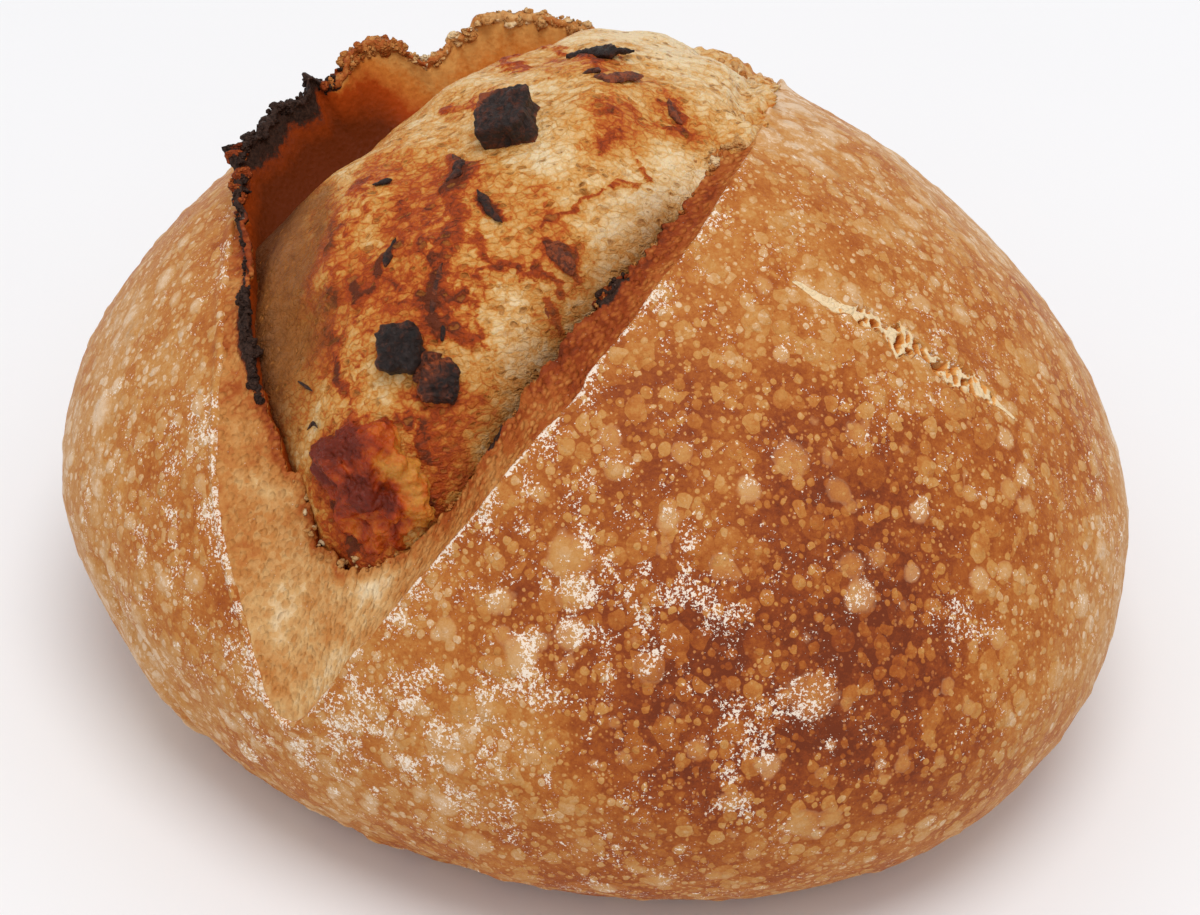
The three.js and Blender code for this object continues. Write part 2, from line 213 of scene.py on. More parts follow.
def cells(points, size, seed):
    """Distance to the nearest of scattered seeds, in cells of that size, and that seed's own number."""
    grid = points / size
    cell = np.floor(grid).astype(np.int64)
    best = np.full(grid.shape[:-1], 9.0)
    number = np.zeros(grid.shape[:-1])
    for step in corners(points.shape[-1], -1, 1):
        home = [cell[..., k] + step[k] for k in range(len(step))]
        away = sum(
            (home[k] + scrambled(home, seed + 7 * k + 3) - grid[..., k]) ** 2 for k in range(len(step))
        )
        nearer = away < best
        best = np.where(nearer, away, best)
        number = np.where(nearer, scrambled(home, seed + 50), number)
    return np.sqrt(best), number


# ---- The dome and the chart on it ----
def headed(heading, down):
    """A unit vector from a heading round +Z, 0 along +X, and an angle down from +Z, in degrees."""
    turn, lean = math.radians(heading), math.radians(down)
    return np.array([math.sin(lean) * math.cos(turn), math.sin(lean) * math.sin(turn), math.cos(lean)])


CHART_UP = headed(CHART_TILT_HEADING, CHART_TILT)
CHART_ALONG = headed(SLASH_HEADING, 90)
CHART_ALONG = CHART_ALONG - CHART_UP * (CHART_ALONG @ CHART_UP)
CHART_ALONG /= np.linalg.norm(CHART_ALONG)
CHART_ACROSS = np.cross(CHART_ALONG, CHART_UP)

slash_reach = around_bearing([(math.degrees(math.atan2(q, p)) % 360, math.hypot(p, q)) for p, q in SLASH])
face_width = around_bearing(FACE_WIDTH)
rim_thickness = around_bearing(RIM_THICKNESS)
pocket_reach = around_bearing(POCKET_REACH)
pocket_floor = around_bearing(POCKET_FLOOR)
burst_edge = around_bearing(BURST_EDGE)
burst_fall = around_bearing(BURST_FALL)
burst_merge = around_bearing(BURST_MERGE)
sheet_reach = around_bearing(SHEET_REACH)


def bearing_of(p, q):
    return np.degrees(np.arctan2(q, p)) % 360


def along_bearing(bearing, reach):
    return reach * np.cos(np.radians(bearing)), reach * np.sin(np.radians(bearing))


def chart_direction(p, q):
    reach = np.hypot(p, q) + 1e-9
    angle = reach / CHART_RADIUS
    return (
        np.cos(angle)[..., None] * CHART_UP
        + (np.sin(angle) * p / reach)[..., None] * CHART_ALONG
        + (np.sin(angle) * q / reach)[..., None] * CHART_ACROSS
    )


def dome_radius(way):
    """Distance from the loaf's heart to the plain dome, whose underside rounds into a flat base."""
    turn = np.arctan2(way[..., 1], way[..., 0])
    plan = 1 + sum(c * np.cos(n * turn) + s * np.sin(n * turn) for n, c, s in PLAN_WAVES)
    above = way[..., 2] > 0
    power = np.where(above, CROWN_POWER, UNDER_POWER)
    rise = np.where(above, CROWN_RISE, UNDER_DROP)
    side = np.hypot(way[..., 0], way[..., 1]) / (HALF_WIDTH * plan)
    round_part = (side**power + (np.abs(way[..., 2]) / rise) ** power) ** (-1 / power)
    flat_part = (WIDEST_LEVEL + BASE_SINK) / np.maximum(-way[..., 2], 1e-4)
    return (round_part**-BASE_CORNER + flat_part**-BASE_CORNER) ** (-1 / BASE_CORNER)


def chart_point(p, q, height=0.0):
    way = chart_direction(p, q)
    radius = dome_radius(way)
    on_dome = way * radius[..., None]
    slump = swells(on_dome, SLUMP) * smooth(0, SLUMP_STARTS, on_dome[..., 2] + WIDEST_LEVEL)
    return way * (radius + slump + height)[..., None] + HEART


def tear_reach(bearing):
    return slash_reach(bearing) - face_width(bearing)


def burst_reach(bearing):
    return tear_reach(bearing) + lerp(1.5, face_width(bearing) + 1, burst_merge(bearing)) + sheet_reach(bearing)


def column_bearings(count):
    """Bearings spaced evenly along the lips, so that the pointed ends get their share of columns."""
    turn = np.linspace(0, 360, 5761)
    line = np.stack(along_bearing(turn, slash_reach(turn)), -1)
    length = np.concatenate([[0], np.cumsum(np.linalg.norm(np.diff(line, axis=0), axis=1))])
    return np.interp(np.arange(count) * length[-1] / count, length, turn)


def base_reach(bearing):
    """Where a bearing's line down the crust meets the level of the base."""
    above = np.full(bearing.shape, CHART_RADIUS)
    below = np.full(bearing.shape, math.pi * CHART_RADIUS * 7 / 8)
    for _ in range(30):
        middle = (above + below) / 2
        high = chart_point(*along_bearing(bearing, middle))[..., 2] > 0
        above, below = np.where(high, middle, above), np.where(high, below, middle)
    return above


def blobs(points, spots):
    """How strongly soft round spots cover the points: a sum of bells, each (centre..., radius, strength)."""
    total = np.zeros(points.shape[:-1])
    for *centre, radius, strength in spots:
        total += strength * np.exp(-((points - np.array(centre)) ** 2).sum(-1) / radius**2)
    return total


def line_distance(points, places):
    """Distance from each point to the straight lines from place to place, or to the one place given twice."""
    best = np.full(points.shape[:-1], np.inf)
    places = np.array(places, float)
    for start, end in zip(places[:-1], places[1:]):
        along = end - start
        share = np.clip(((points - start) @ along) / max(along @ along, 1e-6), 0, 1)
        best = np.minimum(best, np.linalg.norm(points - start - share[..., None] * along, axis=-1))
    return best


def strokes(points, marks):
    """How strongly drawn marks cover the points: each a half width, a strength and places along it."""
    total = np.zeros(points.shape[:-1])
    for width, strength, places in marks:
        total = np.maximum(total, strength * bell(line_distance(points, places), width))
    return total


# ---- Where the crust is dark, floured or blistered, in the loaf's own millimetres ----
PLAIN_BAKE = 0.47
PLAIN_FLOUR = 0.34
# Soft spots as (x, y, z, radius, strength), added to the plain crust; bake runs from 0, pale, to 1, nearly burnt.
# Their strengths and PLAIN_BAKE are a least-squares fit's, rounded. Only the third strength was not the fit's.
BAKE_SPOTS = [
    # The front right shoulder is darkest, down to its foot.
    (39, -67, 70, 26, 0.4), (47, -73, 58, 18, 0.15), (40, -78, 40, 16, 0.28), (24, -78, 62, 18, 0.1),
    (14, -84, 48, 15, 0.3), (0, -88, 18, 24, 0.2),
    # Along the right lip: brown at the low end and paler towards the crown.
    (-5, -72, 66, 14, 0.3), (17, -60, 82, 20, 0.05), (8, -49, 90, 14, 0.1), (30, -30, 98, 14, -0.1),
    (45, 10, 92, 22, 0.05),
    # The right side is browner at mid height, pale at its foot and behind the tear.
    (80, -22, 60, 22, 0.25), (64, -48, 68, 14, 0.05), (85, 15, 62, 24, 0.05), (88, -20, 42, 26, -0.4),
    (70, 22, 80, 30, -0.25),
    # The left side and the front foot stayed paler.
    (-84, -10, 50, 26, -0.2), (-78, -34, 18, 18, -0.3), (-70, -44, 40, 14, -0.05), (-60, -50, 58, 20, 0.05),
    (-10, -84, 37, 22, -0.1),
]
FLOUR_SPOTS = [
    (17, -73, 70, 7, 1.1), (56, -68, 57, 5, 1.0), (24, -81, 60, 3, 0.8), (24, -83, 54, 3.5, 0.9),
    (23, -85, 47, 4, 1.0), (22, -86, 40, 5, 0.9), (-62, -38, 66, 12, 0.45), (-58, -45, 58, 12, 0.5),
    (-35, -70, 42, 18, 0.6), (-50, -60, 38, 14, 0.5), (-12, -80, 48, 18, 0.5), (3, -72, 70, 12, 0.5),
    (-3, -66, 76, 10, 0.4), (-78, -35, 45, 16, 0.5), (62, -30, 85, 14, 0.25), (33, -81, 55, 3, 0.6),
    (0, -90, 20, 22, 0.3), (45, -40, 88, 16, 0.2), (8, -78, 60, 14, 0.3), (30, -80, 55, 14, 0.25),
    (84, -30, 50, 16, 0.3),
]
# Soft rises and dips of the crust as (x, y, z, radius, height).
SWELLINGS = [
    (-88, -8, 50, 20, 1.0), (-84, -24, 36, 16, 1.2), (88, -6, 68, 22, 1.1), (31, 43, 84, 3.5, 1.4),
    (-71, -46, 20, 9, 1.2),
]
# A fold low on the left, from its top to its foot.
FOLD = [(-80, -33, 38), (-77, -38, 31), (-72, -45, 30), (-68, -46, 20), (-64, -45, 12)]
FOLD_DEPTH = 1.3
FOLD_HALF_WIDTH = 2.2
# A tear on the right shoulder, in the chart.
TEAR_FROM = np.array([6.0, 59.0])
TEAR_TO = np.array([19.0, 98.0])
TEAR_HALF_WIDTH = 2.3
TEAR_DEPTH = 2.6
TEAR_POINTS = (260, 60)  # along it and across
# Larger blisters at their own places: x, y, z and radius.
LARGE_BLISTERS = [
    (-2.5, -68.5, 72.5, 3.6), (-2, -72, 68.5, 2.9), (-2.5, -75.5, 63, 2.7), (9, -79.5, 60, 2.4),
    (33.5, -80.5, 55, 3.8), (30.5, -57.5, 82, 2.9), (24, -62, 80, 2.0), (14, -58, 84, 1.8),
    (20, -70, 72, 1.9), (38, -60, 78, 2.2), (44, -66, 70, 2.0), (12, -66, 78, 2.1), (4, -60, 82, 1.7),
]


def tear_place(p, q):
    """Where a chart place lies on the shoulder tear: share of its length, and distance across in half widths."""
    along = TEAR_TO - TEAR_FROM
    length = np.linalg.norm(along)
    share = ((p - TEAR_FROM[0]) * along[0] + (q - TEAR_FROM[1]) * along[1]) / length**2
    across = ((q - TEAR_FROM[1]) * along[0] - (p - TEAR_FROM[0]) * along[1]) / length
    inside = np.clip(share, 0.0, 1.0)
    walk = np.stack([inside * length, 0 * inside], -1)
    across = across + 1.6 * rough(walk, 7, 15, 3) * np.sin(np.pi * inside) ** 0.5
    ragged = 1.15 + 0.9 * rough(walk, 3.2, 18, 3)
    width = TEAR_HALF_WIDTH * np.sin(np.pi * inside) ** 0.6 * ragged * lerp(0.6, 1.0, smooth(0.1, 0.5, inside))
    return share, across / np.maximum(width, 0.02), width


def blister_spots(look):
    """Places of the blisters on the dome, scattered evenly and of random sizes, and the large ones. Each is a
    centre, a radius and how milky it is."""
    random = np.random.default_rng(look.seed)
    count = look.blister_count
    way = random.normal(size=(count, 3))
    way /= np.linalg.norm(way, axis=1)[:, None]
    radius = look.blister_size / MM / 2 * np.exp(random.normal(0, 0.4, count))
    place = way * dome_radius(way)[:, None] + HEART
    kept = (place[:, 2] > 3) & (radius < 3.0)
    spots = np.concatenate([place[kept], radius[kept, None]], 1)
    spots = np.concatenate([spots, np.array(LARGE_BLISTERS)])
    milk = np.where(random.random(len(spots)) < 0.25, 0.9, 0.2)  # one in four is dry and milky
    return np.concatenate([spots, milk[:, None]], 1)


def blister_relief(points, look):
    """Height of the blisters at the points, a mask that is 1 at a blister's middle and 0 at its edge, and how
    milky the blister is."""
    flat = points.reshape(-1, 3)
    tree = kdtree.KDTree(len(flat))
    for i, point in enumerate(flat.tolist()):
        tree.insert(point, i)
    tree.balance()
    wobble = 1 + 0.22 * cloud(flat, 2.1, 31)
    mask = np.full(len(flat), -1.0)
    height = np.zeros(len(flat))
    milkiness = np.zeros(len(flat))
    for x, y, z, radius, milk in blister_spots(look).tolist():
        found = tree.find_range((x, y, z), radius * 1.9)
        if not found:
            continue
        index = np.array([i for _, i, _ in found])
        away = np.array([d for _, _, d in found]) * wobble[index] / radius
        milkiness[index] = np.where(1 - away > mask[index], milk, milkiness[index])
        mask[index] = np.maximum(mask[index], 1 - away)
        dome = look.blister_rise / MM * (radius / 1.6) ** 0.7 * np.clip(1 - away**2, 0, 1) ** 0.7
        height[index] = np.maximum(height[index], dome)
    shape = points.shape[:-1]
    return height.reshape(shape), mask.reshape(shape), milkiness.reshape(shape)


# ---- Meshes ----
def add_piece(name, points, faces, fields, material, replaced=("loaf",)):
    """A smooth mesh piece that rides on the loaf. Points are in millimetres; faces are arrays of corners."""
    mesh = bpy.data.meshes.new(name)
    points = np.asarray(points, float).reshape(-1, 3)
    mesh.vertices.add(len(points))
    mesh.vertices.foreach_set("co", (points * MM).ravel())
    loops = np.concatenate([np.asarray(f).ravel() for f in faces]).astype(np.int32)
    sizes = np.concatenate([np.full(len(f), np.asarray(f).shape[1]) for f in faces])
    mesh.loops.add(len(loops))
    mesh.loops.foreach_set("vertex_index", loops)
    mesh.polygons.add(len(sizes))
    mesh.polygons.foreach_set("loop_start", np.concatenate([[0], np.cumsum(sizes)[:-1]]).astype(np.int32))
    mesh.polygons.foreach_set("use_smooth", np.ones(len(sizes), bool))
    mesh.update(calc_edges=True)
    if mesh.validate():
        raise RuntimeError(f"{name} has broken faces")
    for field, value in fields.items():
        value = np.asarray(value, np.float32)
        if value.size == 3 * len(points):
            mesh.attributes.new(field, "FLOAT_VECTOR", "POINT").data.foreach_set("vector", value.ravel())
        else:
            mesh.attributes.new(field, "FLOAT", "POINT").data.foreach_set("value", value.ravel())
    mesh.materials.append(material)
    piece = bpy.data.objects.new(name, mesh)
    bpy.context.scene.collection.objects.link(piece)
    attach(piece, "root")
    if replaced:
        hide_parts(*replaced)
    return piece


def stacked(rows):
    """Rings of a skin as two grids, of reach and of height; a row's height may be one number."""
    return np.stack([reach for reach, _ in rows]), np.stack([height + 0 * reach for reach, height in rows])


def grid_quads(shape):
    """The quads of a grid of points, facing away from the loaf, as a grid of their own."""
    number = np.arange(math.prod(shape)).reshape(shape)
    return np.stack([number[:-1, :-1], number[:-1, 1:], number[1:, 1:], number[1:, :-1]], -1)


def joined(shapes):
    """Several shapes in one mesh: all points, and each kind of face numbered on from shape to shape."""
    starts = np.cumsum([0] + [len(points) for points, _ in shapes])
    kinds = zip(*([f + start for f in faces] for (_, faces), start in zip(shapes, starts)))
    return np.concatenate([points for points, _ in shapes]), [np.concatenate(kind) for kind in kinds]


def ring_quads(rows, columns, wrapped=False):
    """Quads between rows of points that each run round in a ring, facing away from the loaf."""
    r = np.arange(rows if wrapped else rows - 1)[:, None]
    c = np.arange(columns)[None, :]
    below, beside = (r + 1) % rows, (c + 1) % columns
    corner = [r * columns + c, r * columns + beside, below * columns + beside, below * columns + c]
    return np.stack([k * np.ones_like(corner[0]) for k in corner], -1).reshape(-1, 4)


def tube(rings):
    """Rings of points, closed at both ends by a point at the middle of the end ring: all points, and faces."""
    count, columns = rings.shape[:2]
    here = np.arange(columns)
    beside, last = (here + 1) % columns, (count - 1) * columns
    caps = np.concatenate([
        np.stack([np.full(columns, count * columns), beside, here], -1),
        np.stack([np.full(columns, count * columns + 1), last + here, last + beside], -1)])
    ends = np.stack([rings[0].mean(0), rings[-1].mean(0)])
    return np.concatenate([rings.reshape(-1, 3), ends]), [ring_quads(count, columns), caps]


def with_ends(field):
    """The field of a tube's rings, and its values at the two closing points."""
    return np.append(field.ravel(), [field[0].mean(), field[-1].mean()])


def closing_fan(quads, point):
    """Triangles from every open edge of the quads to one point."""
    edges = np.concatenate([quads[:, [k, (k + 1) % 4]] for k in range(4)])
    big = int(quads.max()) + 1
    there, back = edges[:, 0] * big + edges[:, 1], edges[:, 1] * big + edges[:, 0]
    open_edges = edges[~np.isin(there, back)]
    return np.stack([open_edges[:, 1], open_edges[:, 0], np.full(len(open_edges), point)], -1)


# ---- Colours and materials ----
def linear(hex_colour):
    """An sRGB colour as hex, such as #c1874f, in the linear numbers that Blender takes."""
    parts = [int(hex_colour[i : i + 2], 16) / 255 for i in (1, 3, 5)]
    return tuple(c / 12.92 if c <= 0.04045 else ((c + 0.055) / 1.055) ** 2.4 for c in parts)


# Patterns laid in the chart, whose unit is a millimetre: how many bubbles or pores lie along one.
SKIN_BUBBLES = 0.92
CRUMB_PORES = 0.85


def per_metre(millimetres):
    """The scale of a pattern whose features are that many millimetres apart."""
    return 1 / (millimetres * MM)


def new_material(name):
    """An empty material, and the function that adds a node to it."""
    material = bpy.data.materials.new(name)
    material.use_nodes = True
    material.node_tree.nodes.clear()
    return material, functools.partial(add_node, material.node_tree)


def add_node(tree, kind, inputs=None, out=0, stops=(), **settings):
    """Adds a node and returns one of its outputs. An input is a number, a colour, or the output that feeds it."""
    node = tree.nodes.new("ShaderNode" + kind)
    for key, value in settings.items():
        setattr(node, key, value)
    for key, value in (inputs or {}).items():
        socket = node.inputs[key]
        if isinstance(value, bpy.types.NodeSocket):
            tree.links.new(value, socket)
        elif socket.type == "RGBA":
            socket.default_value = (*value, 1)
        else:
            socket.default_value = value
    if stops:
        elements = node.color_ramp.elements
        while len(elements) < len(stops):
            elements.new(0.5)
        for element, (position, colour) in zip(elements, stops):
            element.position = position
            element.color = (*colour, 1)
    return node.outputs[out] if node.outputs else node


def bubbles(add, place, scale, fewest, largest, edge):
    """Round bubbles of random size and strength: how deep inside one a point is, and a soft mask of them. The
    scale is the pattern's, fewest the share of places left bare, and largest and edge are in spacings."""
    distance = add("TexVoronoi", {"Vector": place, "Scale": scale})
    number = add("SeparateColor", {"Color": distance.node.outputs["Color"]})
    size = add("MapRange", {"Value": number, "From Min": fewest, "To Max": largest})
    depth = add("Math", {0: size, 1: distance}, operation="SUBTRACT", use_clamp=True)
    mask = add("MapRange", {"Value": depth, "From Max": edge}, interpolation_type="SMOOTHSTEP")
    strength = add("MapRange", {"Value": number.node.outputs[1], "To Min": 0.35})
    return depth, add("Math", {0: mask, 1: strength}, operation="MULTIPLY")


def flour_grains(add, speckle, amount):
    """A mask of dry flour: ragged grains where a fine noise stands above a level that falls with the amount."""
    level = add("Math", {0: amount, 1: 0.3, 2: speckle}, operation="MULTIPLY_ADD")
    return add("MapRange", {"Value": level, "From Min": 0.79, "From Max": 0.86}, interpolation_type="SMOOTHSTEP")


def strongest(add, layers):
    """The greatest of the masks, each multiplied by its share."""
    best = None
    for mask, share in layers:
        scaled = add("Math", {0: mask, 1: share}, operation="MULTIPLY")
        best = scaled if best is None else add("Math", {0: best, 1: scaled}, operation="MAXIMUM")
    return best


def summed(add, start, layers):
    """The start plus each layer multiplied by its share."""
    total = start
    for layer, share in layers:
        total = add("Math", {0: layer, 1: share, 2: total}, operation="MULTIPLY_ADD")
    return total


def crust_material(look):
    """Lean wheat crust, proved in floured cloth and baked in steam: a thin red-brown glaze full of paler blisters,
    with dry white flour caught on it."""
    material, add = new_material("baked_wheat_crust")
    place = add("TexCoord", out="Object")
    bake = add("Attribute", out="Fac", attribute_name="bake")
    flour_here = add("Attribute", out="Fac", attribute_name="flour")
    blister = add("Attribute", out="Fac", attribute_name="blister")
    milk = add("Attribute", out="Fac", attribute_name="milk")

    mottle = add("TexNoise", {"Vector": place, "Scale": per_metre(1.8), "Detail": 4, "Roughness": 0.7})
    speckle = add("TexNoise", {"Vector": place, "Scale": per_metre(0.55), "Detail": 2, "Roughness": 0.8})
    wander = add("TexNoise", {"Vector": place, "Scale": per_metre(1.8), "Detail": 2}, out="Color")
    shaken = add("VectorMath", {0: wander, 1: (0.0006,) * 3, 2: place}, operation="MULTIPLY_ADD")
    # The sides rose as they baked, so their blisters are drawn out upwards.
    drawn = add("Mapping", {"Vector": shaken, "Scale": (1, 1, 0.9)})
    large_depth, large = bubbles(add, drawn, per_metre(4.4), 0.45, 0.75, 0.05)
    middle_depth, middle = bubbles(add, drawn, per_metre(2.5), 0.2, 0.72, 0.08)
    small_depth, small = bubbles(add, drawn, per_metre(1.3), 0.25, 0.66, 0.12)
    _, dots = bubbles(add, drawn, per_metre(0.65), 0.45, 0.62, 0.25)
    own_edge = add("Math", {0: mottle, 1: 0.6, 2: blister}, operation="MULTIPLY_ADD")
    own = add("MapRange", {"Value": own_edge, "From Min": 0.2, "From Max": 0.55}, interpolation_type="SMOOTHSTEP")
    own_top = add("MapRange", {"Value": own_edge, "From Min": 0.5, "From Max": 1.2})

    paler = strongest(add, [(own, 0.65), (large, 0.5), (middle, 0.6), (small, 0.8), (dots, 0.9)])
    paler = summed(add, paler, [(small, 0.2), (middle, 0.2), (own_top, 0.25)])
    contrast = add("MapRange", {"Value": bake, "From Min": 0.2, "From Max": 0.75, "To Min": 0.55, "To Max": 1.1})
    paler = add("Math", {0: paler, 1: contrast}, operation="MULTIPLY")
    tone = summed(add, bake, [(mottle, look.mottling), (speckle, 0.35), (paler, -look.blister_contrast)])
    tone = add("Math", {0: tone, 1: look.mottling / 2 + 0.155}, operation="SUBTRACT")
    colour = add("ValToRGB", {"Fac": tone}, stops=[
        (0.0, look.palest), (0.15, look.pale), (0.3, look.golden), (0.48, look.tan), (0.66, look.brown),
        (0.84, look.red_brown), (1.0, look.darkest)])
    # Milky tops and lighter rings round the blisters: partly the dry blisters' own colour, partly painted sheen.
    beside = add("Math", {0: 1.0, 1: own}, operation="SUBTRACT")
    ring = add("Math", {0: own, 1: beside}, operation="MULTIPLY")
    milk_and_sheen = strongest(add, [(own, milk), (dots, 0.5), (ring, 2.2)])
    milk_and_sheen = add("Math", {0: milk_and_sheen, 1: mottle}, operation="MULTIPLY")
    thin_milk_and_sheen = add("Math", {0: milk_and_sheen, 1: 0.5}, operation="MULTIPLY")
    colour = add("Mix", {0: thin_milk_and_sheen, 6: colour, 7: look.dry_blister_and_sheen}, out=2, data_type="RGBA")
    caught = summed(add, flour_here, [(milk_and_sheen, 0.75)])
    flour = flour_grains(add, speckle, caught)
    dusted = add("Math", {0: flour, 1: 0.92}, operation="MULTIPLY")
    colour = add("Mix", {0: dusted, 6: colour, 7: look.flour}, out=2, data_type="RGBA")

    height = add("Math", {0: middle_depth, 1: 0.6}, operation="MULTIPLY")
    height = summed(add, height, [(large_depth, 0.8), (small_depth, 0.35), (mottle, 0.25), (speckle, 0.1)])
    bump = add("Bump", {"Height": height, "Strength": 1.0, "Distance": MM})
    roughness = add("MapRange", {"Value": flour, "To Min": 0.42, "To Max": 0.95})
    shader = add("BsdfPrincipled", {
        "Base Color": colour, "Roughness": roughness, "IOR": 1.45, "Specular IOR Level": 0.05, "Normal": bump})
    add("OutputMaterial", {"Surface": shader})
    return material


def torn_skin_material(look):
    """Torn dough skin, dried and baked in the open cut: packed bubbles drawn out along the cut, red-brown to cream,
    smooth and orange in the pocket, and burnt black along the ear."""
    material, add = new_material("baked_torn_dough_skin")
    place = add("TexCoord", out="Object")
    chart = add("Attribute", out="Vector", attribute_name="chart")
    char = add("Attribute", out="Fac", attribute_name="char")
    bake = add("Attribute", out="Fac", attribute_name="bake")
    flour_here = add("Attribute", out="Fac", attribute_name="flour")
    inner = add("Attribute", out="Fac", attribute_name="inner")

    mottle = add("TexNoise", {"Vector": place, "Scale": per_metre(1.6), "Detail": 4, "Roughness": 0.7})
    speckle = add("TexNoise", {"Vector": place, "Scale": per_metre(0.5), "Detail": 2, "Roughness": 0.75})
    wander = add("TexNoise", {"Vector": place, "Scale": per_metre(1.1), "Detail": 1}, out="Color")
    shaken = add("VectorMath", {0: wander, 1: (0.8,) * 3, 2: chart}, operation="MULTIPLY_ADD")
    drawn = add("Mapping", {"Vector": shaken, "Scale": (0.82, 1, 1)})
    bubble = add("TexVoronoi", {"Vector": drawn, "Scale": SKIN_BUBBLES})
    own_tone = add("SeparateColor", {"Color": bubble.node.outputs["Color"]})
    squared = add("Math", {0: bubble, 1: bubble}, operation="MULTIPLY")
    swollen = add("Math", {0: squared, 1: -2.8, 2: 1.0}, operation="MULTIPLY_ADD", use_clamp=True)
    # Baked skin has paler bubbles, and pale skin darker bubbles in a net of light walls.
    plainness = add("MapRange", {"Value": bake, "From Min": 0.2, "From Max": 0.5, "To Min": -0.2})
    shown = add("Math", {0: swollen, 1: plainness}, operation="MULTIPLY")
    packed = add("Math", {0: shown, 1: own_tone}, operation="MULTIPLY")

    mottling = add("MapRange", {"Value": bake, "From Max": 0.5, "To Min": 0.2, "To Max": 0.36})
    mottled = add("Math", {0: mottle, 1: 0.5}, operation="SUBTRACT")
    tone = add("Math", {0: mottled, 1: mottling, 2: bake}, operation="MULTIPLY_ADD")
    tone = summed(add, tone, [(speckle, 0.1), (packed, -0.24), (shown, -0.08), (own_tone, 0.12)])
    colour = add("ValToRGB", {"Fac": tone}, stops=[
        (0.0, look.face_cream), (0.2, look.face_pale), (0.4, look.face_tan), (0.6, look.face_orange),
        (0.8, look.face_red), (1.0, look.face_dark)])
    # Inside the pocket the colour darkens with depth: partly the skin's own colour, partly painted shade.
    inside_tone = summed(add, inner, [(mottle, 0.3)])
    inside = add("ValToRGB", {"Fac": inside_tone}, stops=[
        (0.17, look.pocket_pale), (0.29, look.pocket_gold), (0.48, look.pocket_orange), (0.95, look.pocket_dark_and_shade)])
    within = add("MapRange", {"Value": inner, "From Max": 0.03})
    colour = add("Mix", {0: within, 6: colour, 7: inside}, out=2, data_type="RGBA")

    burnt_edge = summed(add, char, [(mottle, 0.9), (speckle, 0.35)])
    scorched = add("MapRange", {"Value": burnt_edge, "From Min": 0.55, "From Max": 0.85})
    colour = add("Mix", {0: scorched, 6: colour, 7: look.scorched}, out=2, data_type="RGBA")
    burnt = add("MapRange", {"Value": burnt_edge, "From Min": 0.75, "From Max": 1.0}, interpolation_type="SMOOTHSTEP")
    ash = add("ValToRGB", {"Fac": speckle}, stops=[(0.35, look.char), (0.75, look.char_light)])
    colour = add("Mix", {0: burnt, 6: colour, 7: ash}, out=2, data_type="RGBA")
    flour = flour_grains(add, speckle, flour_here)
    colour = add("Mix", {0: flour, 6: colour, 7: look.flour}, out=2, data_type="RGBA")

    height = add("Math", {0: swollen, 1: 0.28}, operation="MULTIPLY")
    height = summed(add, height, [(mottle, 0.35), (speckle, 0.12)])
    uneven = add("MapRange", {"Value": within, "To Min": 1.0, "To Max": 0.25})
    bump = add("Bump", {"Height": height, "Strength": uneven, "Distance": MM})
    roughness = add("MapRange", {"Value": flour, "To Min": 0.42, "To Max": 0.95})
    shader = add("BsdfPrincipled", {
        "Base Color": colour, "Roughness": roughness, "IOR": 1.45, "Specular IOR Level": 0.08, "Normal": bump})
    add("OutputMaterial", {"Surface": shader})
    return material


